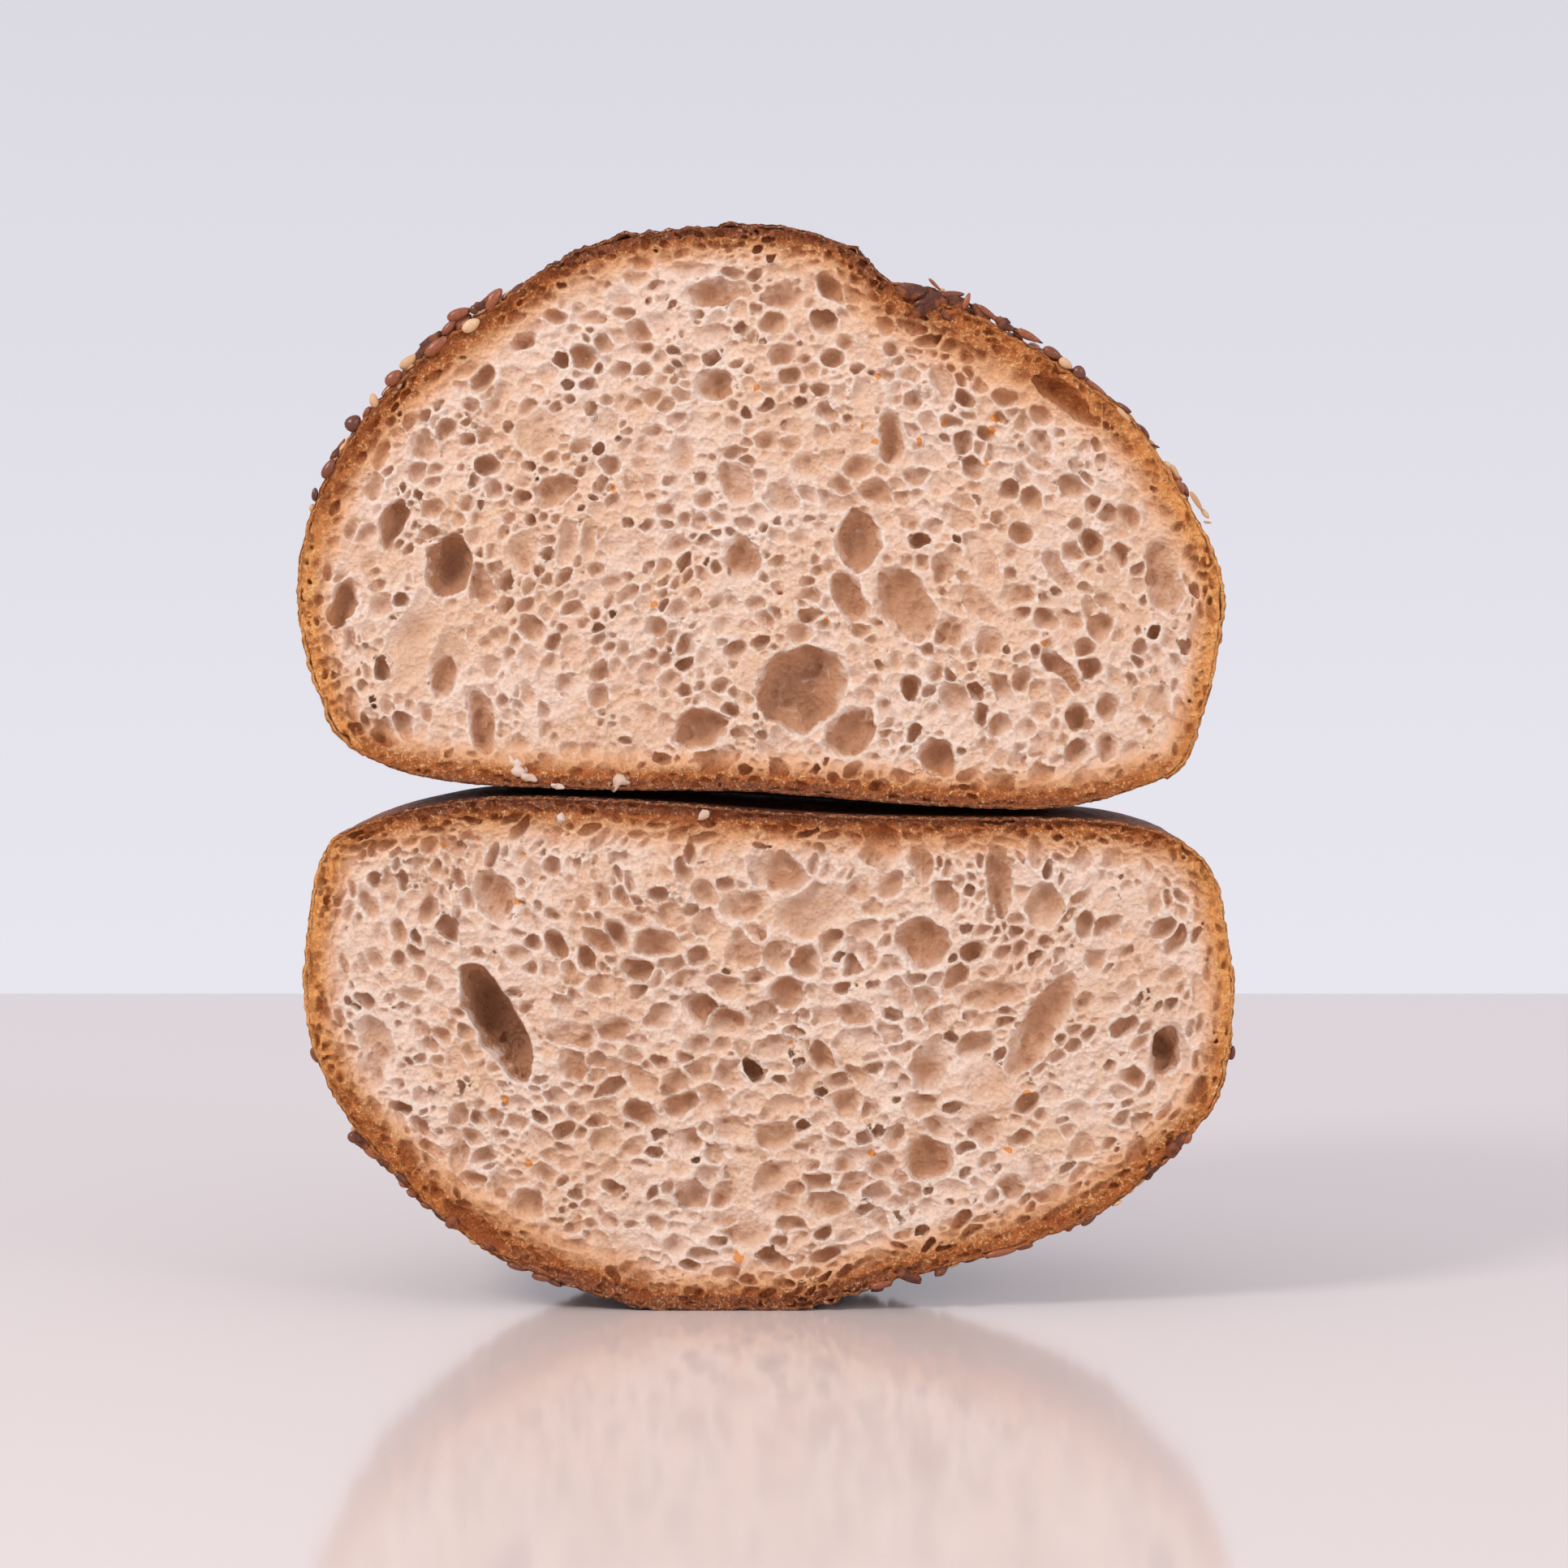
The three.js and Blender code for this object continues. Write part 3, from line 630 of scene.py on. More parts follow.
    def pits(self):
        """Small pits that make the toasted band crumbly."""
        i, j = self.spots(PITS)
        k = np.searchsorted(self.y, CUT_BACK + self.rng.uniform(*PIT_REACH, PITS))
        radius = self.rng.uniform(*PIT_RADIUS, PITS)
        in_band = (self.inside[i, j] > RIND + 0.2) & (self.inside[i, j] < self.toast[i, j])
        for n in np.nonzero(in_band)[0]:
            half_sizes = radius[n] * 1.3, radius[n] * 0.8, radius[n]
            lean = float(self.lean[i[n], j[n]])
            self.carve(*self.swirled(i[n], j[n], k[n]), *half_sizes, lean, walled=False)

    def field(self):
        """The bread that is left between the pores, the cut, the rind and the back."""
        plane = (self.x, self.z, self.y[:2])
        ragged = sum(
            height * smooth_field(plane, size, self.rng)[:, :, :1] for size, height in CUT_WAVES
        )
        membrane = MEMBRANE + MEMBRANE_SPREAD * smooth_field(self.axes, 2.7, self.rng)
        membrane = np.where(membrane < THINNEST_MEMBRANE, -1, membrane)
        wall = (membrane - (self.second - self.nearest)) / 2
        fray = 0.13 * smooth_field(self.axes, 0.9, self.rng)
        solid = np.maximum(self.nearest, wall) + fray
        crisp = smoothstep(smooth_field(plane, 8.0, self.rng)[:, :, :1], -0.4, 0.4)
        fall = RIM_FALL * (1 - 0.8 * crisp) * (1 - smoothstep(solid, 0.1, 0.9))
        notch = np.maximum(smooth_field(plane, NOTCH_SIZE, self.rng)[:, :, :1], 0)
        fall = fall + NOTCH_DEPTH * notch * (1 - smoothstep(solid, 0.08, 0.5))
        front = self.y[None, None, :] + ragged - CUT_BACK - fall - self.tear[:, :, None]
        back = CRUMB_THICKNESS - self.y[None, None, :]
        side = self.inside[:, :, None] - RIND - 0.12 * smooth_field(self.axes, 1.6, self.rng)
        side = side - self.sole[:, :, None] * sole_wear(self.x, 0.0)[:, None, None]
        for limit in (front, back, side):
            solid = np.minimum(solid, limit)
        return self.fill_closed(solid)

    def raised(self, solid):
        """How far each spot of the cut stands above the bread round it, in millimetres."""
        first = np.argmax(solid > 0, axis=2)
        height = -self.y[first]
        reach = int(RAISED_REACH * 2 / GRID_STEP)
        bell = np.exp(-((np.arange(-reach, reach + 1) * GRID_STEP / RAISED_REACH) ** 2))
        bell /= bell.sum()
        low = height
        for axis in (0, 1):
            low = np.apply_along_axis(np.convolve, axis, low, bell, mode="same")
        return np.clip(height - low, -1.5, 1.5)

    def tears(self):
        """How far the cut lies back where the crumb tore into short lips that overlap."""
        plane = (self.x, self.z)
        cx, deepest = self.half["torn"][0], self.half["torn"][-1]
        drift = 3.0 * smooth_field(plane, 9.0, self.rng) + 2.6 * smooth_field(plane, 3.6, self.rng)
        bow = 0.0016 * (self.x[:, None] - cx) ** 2
        phase = ((self.z[None, :] - bow + drift) / TEAR_PITCH) % 1.0
        lip = smoothstep(phase, 0.0, 0.55) * (1 - smoothstep(phase, 0.8, 1.0))
        broken = smoothstep(smooth_field(plane, 3.0, self.rng), -0.25, 0.4)
        knobs = sum(height * smooth_field(plane, size, self.rng) for size, height in KNOBS)
        return deepest * self.torn * np.maximum(0.35 + knobs + 0.5 * broken * (1 - lip), 0)

    def fill_closed(self, solid):
        """Turns air that never meets the cut face into bread, as nothing shows it."""
        air = solid < 0
        open_air = air & (self.y[None, None, :] < -0.8)
        for _ in range(40):
            grown = open_air.copy()
            for axis in range(3):
                into, out_of = np.moveaxis(grown, axis, 0), np.moveaxis(open_air, axis, 0)
                into[1:] |= out_of[:-1]
                into[:-1] |= out_of[1:]
            grown &= air
            if np.array_equal(grown, open_air):
                break
            open_air = grown
        solid[air & ~open_air] = 0.2
        # A shaft too narrow to look into would only show as a black speck.
        core = open_air.copy()
        for axis in (0, 1):
            core &= np.roll(open_air, 1, axis) & np.roll(open_air, -1, axis)
        for axis in (0, 1):
            core |= np.roll(core, 1, axis) | np.roll(core, -1, axis)
        solid[open_air & ~core & (self.y[None, None, :] > SHAFT_FROM)] = 0.1
        return solid


def surface_of(field, axes):
    """Vertices and square faces of the surface where a field crosses zero."""
    positive = field > 0
    shape = tuple(n - 1 for n in field.shape)
    corners = [(a, b, c) for a in (0, 1) for b in (0, 1) for c in (0, 1)]
    total = np.zeros(shape, np.int8)
    for a, b, c in corners:
        total += positive[a:a + shape[0], b:b + shape[1], c:c + shape[2]]
    active = np.nonzero((total > 0) & (total < 8))
    number = np.full(shape, -1, np.int32)
    number[active] = np.arange(len(active[0]))
    values = {
        corner: field[active[0] + corner[0], active[1] + corner[1], active[2] + corner[2]]
        for corner in corners
    }
    place = np.zeros((len(active[0]), 3))
    hits = np.zeros(len(active[0]))
    for corner in corners:
        for axis in range(3):
            if corner[axis]:
                continue
            other = list(corner)
            other[axis] = 1
            one, two = values[corner], values[tuple(other)]
            crosses = (one > 0) != (two > 0)
            t = np.where(crosses, one / np.where(crosses, one - two, 1), 0)
            point = np.array(corner, float)[None, :].repeat(len(t), 0)
            point[:, axis] = t
            place += point * crosses[:, None]
            hits += crosses
    place /= hits[:, None]
    points = np.stack(
        [np.interp(active[m] + place[:, m], np.arange(len(axes[m])), axes[m]) for m in range(3)], -1
    )
    faces = []
    for axis in range(3):
        u, v = (axis + 1) % 3, (axis + 2) % 3
        here = [slice(None)] * 3
        after = [slice(None)] * 3
        here[axis], after[axis] = slice(0, -1), slice(1, None)
        one, two = positive[tuple(here)], positive[tuple(after)]
        for sign, change in ((1, one & ~two), (-1, ~one & two)):
            edge = np.nonzero(change)
            ok = (edge[u] > 0) & (edge[v] > 0) & (edge[u] < shape[u]) & (edge[v] < shape[v])
            edge = [e[ok] for e in edge]
            ring = []
            for du, dv in ((-1, -1), (0, -1), (0, 0), (-1, 0)):
                cell = [e.copy() for e in edge]
                cell[u] += du
                cell[v] += dv
                ring.append(number[tuple(cell)])
            quad = np.stack(ring, -1)
            faces.append(quad if sign > 0 else quad[:, ::-1])
    return points, np.concatenate(faces)


def fleck_mask(x, z):
    """Where the golden flecks lie, from 0 to 1, with wavering edges."""
    waver = 0.5 * lumps(np.stack((x, z, 0 * x), -1), 0.8, 51)
    return np.max([
        1 - smoothstep(np.hypot(x - cx, z - cz) + waver, 0.5 * size, 0.95 * size)
        for cx, cz, size in FLECKS
    ], axis=0)


def build_crumb(half, seed):
    """The crumb behind the cut, in closed pieces from left to right."""
    crumb = Crumb(half, seed)
    crumb.named_pores()
    crumb.scattered_pores()
    crumb.dents()
    crumb.pits()
    field = crumb.field()
    raised = crumb.raised(field)
    return [crumb_part(crumb, field, raised, number) for number in range(len(CRUMB_PARTS))]


def crumb_part(crumb, field, raised, number):
    """One piece of crumb, which reaches a little under the piece to its left."""
    count = len(CRUMB_PARTS)
    size = field.shape[0]
    first, last = number * size // count, (number + 1) * size // count
    part = field.copy()
    if number:
        for step in range(PART_OVERLAP):
            part[first + step] -= PART_SINK * (1 - step / PART_OVERLAP)
        part[:first] = PART_CUT
    if number < count - 1:
        last += PART_OVERLAP - 1
        part[last:] = PART_CUT
    low, high = max(first - 1, 0), min(last + 1, size)
    # Grid order is x, z, y, which is left-handed, so the faces are turned round.
    points, faces = surface_of(part[low:high], (crumb.x[low:high], crumb.z, crumb.y))
    faces = faces[:, ::-1]
    x, z, behind = points.T
    z = np.maximum(z, LOWEST_CRUMB)
    i = np.clip((x - crumb.x[0]) / GRID_STEP, 0, len(crumb.x) - 1).astype(int)
    j = np.clip((z - crumb.z[0]) / GRID_STEP, 0, len(crumb.z) - 1).astype(int)
    placed = np.stack((x, CUT_Y + np.maximum(behind, CRUMB_FRONT), z), -1)
    worn = crumb.sole[i, j] * sole_wear(x, 0.0)
    inward = np.minimum(crumb.inside[i, j] - worn, z) * USUAL_TOAST / crumb.toast[i, j]
    # Depth behind the cut and raised height are what the crumb's painted shade and painted
    # highlight are told from.
    attributes = {
        "inward": inward,
        "sunk": behind - crumb.tear[i, j],
        "bake": crumb.bake[i, j],
        "raised": raised[i, j],
        "fleck": fleck_mask(x, z),
    }
    name = f"{crumb.half['name']}_crumb_{CRUMB_PARTS[number]}"
    piece = new_mesh(name, placed, faces, attributes)
    thin = piece.modifiers.new("thin", "DECIMATE")
    thin.ratio = min(1.0, CRUMB_TRIANGLES / (2 * len(faces)))
    return finished(piece)


def finished(piece):
    """The piece with its modifiers made part of its mesh."""
    depsgraph = bpy.context.evaluated_depsgraph_get()
    mesh = bpy.data.meshes.new_from_object(piece.evaluated_get(depsgraph))
    mesh.name = piece.name
    old = piece.data
    piece.modifiers.clear()
    piece.data = mesh
    bpy.data.meshes.remove(old)
    return piece


# ------------------------------------------------------------------ crust
def even_places(half, count):
    """Places on the outline that lie at even distances along it."""
    fine = np.arange(6001) / 6000
    points = on_curve(half["outline"], fine)
    run = np.concatenate(([0], np.cumsum(np.hypot(*np.diff(points, axis=0).T))))
    return np.interp(np.arange(count) * run[-1] / count, run, fine)


def between(value, low, high, soft):
    """From 0 to 1 and back: 1 between low and high, with soft ends."""
    rise = smoothstep(value, low - soft, low + soft)
    return rise * (1 - smoothstep(value, high - soft, high + soft))


def score_mask(half, place):
    """The unseeded, darker stretch of dome where the score opened."""
    count = len(half["outline"])
    (_, low), (high, _) = sorted(half["seed_bands"])
    return between(place * count, low, high, 0.35)


def told_along(half, key, place):
    """A value that a half tells for each point of its outline, at places between them."""
    values = np.array(half[key] * 3, float)
    count = len(half[key])
    return np.interp(place * count + count, np.arange(3 * count), values)


def facing(half, place):
    """Unit normals of the outline, outwards, in x and z."""
    ahead, behind = on_curve(half["outline"], place + 1e-3), on_curve(half["outline"], place - 1e-3)
    along = (ahead - behind) / np.linalg.norm(ahead - behind, axis=-1)[..., None]
    return -along[..., 1], along[..., 0]


def sole_mask(half, place):
    """1 on the sole and 0 on the dome."""
    return smoothstep(-facing(half, place)[1] * half["dome_side"], 0.8, 0.97)


def sole_wear(x, depth):
    """How far the sole's edge at the cut is worn back, which opens the seam between the halves."""
    least, most, centre, spread = SOLE_WEAR
    worn = least + most * np.exp(-(((x - centre) / spread) ** 2))
    return worn * (1 - smoothstep(np.asarray(depth, float), *SOLE_WEAR_FADE))


def skin_depths(half):
    """Distances of the skin's rows behind the cut."""
    near = list(SKIN_ROWS)
    even = half["even_length"]
    while near[-1] + ROW_STEP < even:
        near.append(near[-1] + ROW_STEP)
    turn = np.linspace(0, 1, 56)[1:-1] * np.pi / 2
    far = even + np.sin(turn) ** (2 / PLAN_POWER) * (HALF_LENGTH - even)
    return np.concatenate((near, far[far > near[-1] + 0.8]))


def build_crust(half, seed):
    """The crust as one closed shell: skin, rim at the cut, and a wall behind the crumb."""
    place = even_places(half, CRUST_STEPS)
    out_x, out_z = facing(half, place)
    score, sole = score_mask(half, place), sole_mask(half, place)

    depths = skin_depths(half)
    shell = np.array([skin(half, place, depth) for depth in depths])
    turned = np.roll(shell, -1, axis=1) - np.roll(shell, 1, axis=1)
    normal = np.cross(turned, np.gradient(shell, axis=0))
    normal /= np.linalg.norm(normal, axis=-1)[..., None] + 1e-9
    torn = 0.62 * lumps(shell * (1, 0.4, 1), 2.8, seed + 8) + 0.3 * lumps(shell, 1.0, seed + 9)
    rough = layered(shell, CRUST_LUMPS, seed + 5) * (1 - 0.8 * sole) + score * torn
    # The sole and the resting spot keep their plane.
    rough = np.where((sole > 0.5) & (rough > 0.1), 0.1, rough)
    rough = np.where(shell[..., 2] < 0.6, 0, rough)
    crumbly = layered(shell, EDGE_LUMPS, seed + 11)
    fringe = 1 - smoothstep(depths, 1.5, 5.0)[:, None]
    rough = rough + np.where(sole > 0.4, -np.abs(crumbly), 0.7 * crumbly) * fringe
    rough = rough - sole * sole_wear(shell[..., 0], depths[:, None])
    shell = shell + normal * rough[..., None]
    shell[..., 2] = np.maximum(shell[..., 2], 0.0)

    rows, inward_rows, depth_rows = [], [], []

    def add_row(inward, behind):
        x, z = shell[0, :, 0] - out_x * inward, shell[0, :, 2] - out_z * inward
        rows.append(np.stack((x, CUT_Y + behind + np.zeros_like(x), np.maximum(z, 0.0)), -1))
        inward_rows.append(np.full(CRUST_STEPS, inward))
        depth_rows.append(np.zeros(CRUST_STEPS))

    add_row(SHELL_THICKNESS, SHELL_BACK)
    add_row(RIM_ROWS[0] + 0.5, 3.0)
    for inward in RIM_ROWS:
        worn = 0.35 * (1 - smoothstep(np.asarray(inward), 0.0, 0.4))
        grain = shell[0] * (1, 0, 1) + (0, inward, 0)
        chipped = 0.2 + 0.42 * lumps(grain, 0.9, seed + 2) + 0.3 * lumps(grain, 2.0, seed + 3)
        add_row(inward, np.maximum(worn + chipped, 0.0))
    for row, back in zip(shell, EDGE_BACK):
        row[:, 1] += back
    for row, depth in zip(shell, depths):
        rows.append(row)
        inward_rows.append(np.zeros(CRUST_STEPS))
        depth_rows.append(np.full(CRUST_STEPS, depth))

    count = len(rows)
    first = (0.0, CUT_Y + SHELL_BACK, half["widest_z"])
    last = (0.0, CUT_Y + HALF_LENGTH, half["widest_z"])
    points = np.concatenate((*rows, [first, last]))
    tip = count * CRUST_STEPS
    i = np.arange(CRUST_STEPS)
    j = (i + 1) % CRUST_STEPS
    faces = [np.stack((np.full_like(i, tip), j, i), -1)]
    for row in range(count - 1):
        a, b = row * CRUST_STEPS, (row + 1) * CRUST_STEPS
        faces.append(np.stack((a + i, a + j, b + j), -1))
        faces.append(np.stack((a + i, b + j, b + i), -1))
    top = (count - 1) * CRUST_STEPS
    faces.append(np.stack((top + i, top + j, np.full_like(i, tip + 1)), -1))

    depth = np.concatenate((*depth_rows, [0.0, HALF_LENGTH]))
    fade = 1 - smoothstep(depth, HALF_LENGTH * 0.82, HALF_LENGTH)
    band = np.concatenate((np.tile(USUAL_TOAST / told_along(half, "toast", place), count), (1, 1)))
    bake = np.tile(told_along(half, "bake", place), count)
    attributes = {
        "bake": np.concatenate((bake, (0, 0))) * fade + USUAL_BAKE * (1 - fade),
        "behind": depth,
        "inward": np.concatenate((*inward_rows, [SHELL_THICKNESS, 0.0])) * band,
        "sole": np.concatenate((np.tile(sole, count), (0, 0))) * fade,
    }
    return new_mesh(half["name"] + "_crust", points, np.concatenate(faces), attributes)


# ------------------------------------------------------------------ node trees
class Nodes:
    """A node tree under construction."""

    def __init__(self, tree):
        self.tree = tree

    def add(self, kind, inputs=None, **settings):
        """Adds a node, makes its settings and feeds its inputs."""
        node = self.tree.nodes.new(kind)
        for key, value in settings.items():
            setattr(node, key, value)
        for key, value in (inputs or {}).items():
            self.feed(node.inputs[key], value)
        return node

    def feed(self, socket, value):
        """Links a socket to another one, or sets its value."""
        if isinstance(value, bpy.types.NodeSocket):
            self.tree.links.new(value, socket)
        else:
            socket.default_value = value

    def maths(self, operation, one, two):
        return self.add("ShaderNodeMath", {0: one, 1: two}, operation=operation).outputs[0]

    def mix(self, share, one, two):
        """The colour that lies between two others."""
        node = self.add("ShaderNodeMix", {"Factor": share}, data_type="RGBA")
        for socket, value in zip([s for s in node.inputs if s.type == "RGBA"], (one, two)):
            self.feed(socket, value)
        return next(s for s in node.outputs if s.type == "RGBA")


# ------------------------------------------------------------------ seeds
SEED_PATCH_DEPTHS = (0.8, 99.0)
SEED_PATCH_STEPS = 70
SEED_FORMS = {   # thickness over width, taper, and which of the scattered places are taken
    "dark": (0.55, 0.22, (0.0, 0.66)),
    "pale": (0.45, 0.3, (0.66, 1.01)),
}
SEED_SCATTER = {"Size spread": 0.18, "Tilt": 0.22, "Proud": 0.00035}
SEED_LIFT = {"upper": 0.6, "lower": -0.1}   # how far the seeds at the cut stand off their place
# Seeds and flakes that show at the cut's edge: x, z, half length, half width, lean, kind.
PLACED_SEEDS = {
    "upper": (
        (31.5, 219.6, 3.2, 1.3, -8, "burnt"), (35.5, 217.6, 3.6, 2.0, -12, "burnt"),
        (40.5, 216.8, 3.4, 1.7, -22, "burnt"), (33.3, 215.8, 2.6, 1.4, 25, "burnt"),
        (38.2, 214.6, 2.3, 0.9, -62, "burnt"), (45.6, 215.4, 3.2, 1.1, -36, "burnt"),
        (50.6, 212.8, 3.3, 1.0, -33, "burnt"), (56, 210.2, 3.3, 0.9, -28, "burnt"),
        (73.2, 196.6, 2.4, 0.8, -38, "burnt"), (-60.8, 216.6, 1.8, 0.9, 50, "burnt"),
        (-72, 208.4, 3.6, 1.2, 44, "burnt"), (-91.3, 186, 3.0, 0.9, 58, "burnt"),
        (-45, 114.7, 1.5, 0.9, -10, "crumb"), (-31.8, 115.2, 1.6, 1.2, 15, "crumb"),
        (-54.3, 118.8, 2.3, 1.4, -50, "crumb"), (-51.4, 116.6, 1.3, 0.8, -25, "crumb"),
        (-58.4, 218, 3.1, 1.5, 50, "dark"), (-59.3, 215.5, 1.6, 0.6, 48, "pale"),
        (-62, 216, 1.4, 1.0, 30, "dark"), (-65.6, 214.9, 2.8, 1.3, 22, "dark"),
        (-64.9, 213.4, 2.4, 1.3, 38, "dark"), (-63, 212.5, 2.2, 1.35, 32, "pale"),
        (-67.8, 212, 2.3, 1.0, 50, "dark"), (-68.3, 209.9, 3.4, 1.3, 36, "dark"),
        (-70.5, 208, 3.2, 1.3, 40, "dark"), (-76.4, 204.8, 2.4, 1.1, 38, "pale"),
        (-77, 202.8, 1.1, 0.8, 50, "pale"), (-79.6, 201.3, 2.2, 1.4, 45, "dark"),
        (-77.6, 202, 1.2, 0.8, 40, "dark"), (-79.9, 198.8, 2.6, 1.1, 38, "pale"),
        (-83.8, 196.5, 1.6, 1.0, 100, "pale"),
        (-88.3, 191.7, 2.0, 1.7, 50, "dark"), (-90.5, 186.5, 3.2, 0.9, 55, "pale"),
        (-93.5, 182, 2.4, 1.2, 60, "dark"), (-96.5, 176.5, 1.5, 0.8, 90, "dark"),
        (-97.2, 173.7, 0.9, 0.7, 80, "pale"), (31, 220.3, 2.8, 1.0, -15, "dark"),
        (36, 221.2, 1.8, 0.4, -45, "dark"), (37.5, 220, 0.8, 0.5, 10, "pale"),
        (33.5, 217.4, 2.2, 0.9, 20, "dark"), (36.5, 217.8, 1.6, 0.8, -20, "dark"),
        (39.5, 219, 3.0, 0.9, 3, "dark"), (42.8, 217.6, 1.9, 0.7, 70, "dark"),
        (47.5, 215, 3.0, 0.7, -38, "dark"), (52, 212.2, 2.5, 0.6, -35, "dark"),
        (56, 210.2, 2.8, 0.9, -28, "dark"), (61.2, 206.5, 2.3, 1.2, -30, "dark"),
        (62.9, 205.3, 0.9, 0.8, 60, "pale"), (64, 204.3, 1.7, 1.0, -35, "pale"),
        (67, 202.3, 1.7, 1.4, -50, "dark"), (70.3, 199.3, 3.3, 0.8, -35, "dark"),
        (76.5, 193.4, 2.2, 0.6, -45, "pale"), (83.2, 186.8, 1.1, 0.3, -20, "dark"),
        (86, 182.5, 1.3, 0.8, -50, "pale"), (87.5, 181.3, 1.8, 0.5, -60, "pale"),
        (88, 180, 1.2, 0.7, -30, "dark"), (89.6, 177.5, 1.8, 0.8, -60, "dark"),
        (92, 175, 2.5, 0.6, -58, "pale"), (94, 172.3, 1.3, 0.6, -50, "pale"),
        (94.6, 170.5, 0.9, 0.3, -10, "pale"),
    ),
    "lower": (
        (-13, 108.2, 1.6, 0.7, 40, "crumb"), (-44.2, 107.2, 1.1, 0.8, 90, "crumb"),
        (-37.5, 110.4, 1.0, 0.35, -10, "crumb"), (-88, 37, 2.4, 1.2, -50, "burnt"),
        (-83.5, 32.5, 2.6, 0.9, -52, "burnt"), (-73.8, 23.6, 2.8, 1.0, -38, "burnt"),
        (-68, 19.2, 2.4, 1.1, -35, "burnt"), (-60, 13.6, 3.0, 0.9, -28, "burnt"),
        (-43, 6.2, 2.6, 0.8, -20, "burnt"), (89, 36, 2.6, 1.3, 55, "burnt"),
        (84, 30.8, 2.6, 0.9, 48, "burnt"), (25, 5.2, 3.0, 1.1, 15, "burnt"),
        (31, 7.6, 2.6, 1.2, -22, "burnt"), (66.5, 18.6, 2.4, 0.8, 28, "burnt"),
        (-89.3, 39.3, 0.9, 0.8, 0, "pale"), (-89.3, 37.6, 1.6, 1.2, -40, "dark"),
        (-86, 34.6, 2.2, 1.0, -50, "dark"), (-97.8, 55.5, 1.8, 1.0, -70, "dark"),
        (-79, 28.6, 2.0, 0.8, -45, "dark"), (-49, 8.4, 2.6, 0.7, -28, "dark"),
        (92, 39.6, 0.9, 0.7, 30, "pale"), (91.2, 37.6, 1.4, 1.1, 50, "dark"),
        (88, 35, 2.0, 1.2, 50, "dark"), (101, 56, 1.6, 0.8, 80, "dark"),
        (51, 12.6, 3.5, 0.8, 12, "dark"), (56, 13.8, 1.9, 0.7, 12, "dark"),
        (31.5, 6.6, 2.4, 0.8, -25, "dark"), (25, 5.6, 2.5, 0.8, 15, "dark"),
        (70, 19.6, 2.0, 0.8, 35, "dark"), (96.5, 45.5, 2.0, 0.8, 62, "dark"),
    ),
}


def seed_patch(half):
    """The seeded shoulders of a half as an open sheet that the seeds are scattered on."""
    count = len(half["outline"])
    steps = SEED_PATCH_STEPS
    points, faces, share = [], [], []
    for low, high in half["seed_bands"]:
        across = np.linspace(0, 1, steps)
        place, depth = np.meshgrid(
            (low + across * (high - low)) / count,
            SEED_PATCH_DEPTHS[0] + across * (SEED_PATCH_DEPTHS[1] - SEED_PATCH_DEPTHS[0]),
            indexing="xy",
        )
        start = sum(len(p) for p in points)
        sheet = skin(half, place, depth).reshape(-1, 3)
        edge = between(across, 0.07, 0.95, 0.08)[None, :] * between(across, -1, 0.93, 0.06)[:, None]
        clump = 0.62 + 0.5 * lumps(sheet, 9.0, 41).reshape(steps, steps)
        keep_off = smoothstep(sheet[:, 2], 3.0, 6.0).reshape(steps, steps)
        points.append(sheet)
        share.append(np.clip(edge * clump * keep_off, 0, 1).ravel())
        i, j = np.meshgrid(np.arange(steps - 1), np.arange(steps - 1), indexing="ij")
        a = start + i * steps + j
        faces.append(np.stack((a, a + 1, a + steps + 1, a + steps), -1).reshape(-1, 4))
    return new_mesh(
        half["name"] + "_seed_patch",
        np.concatenate(points),
        np.concatenate(faces),
        {"seed_share": np.concatenate(share)},
    )


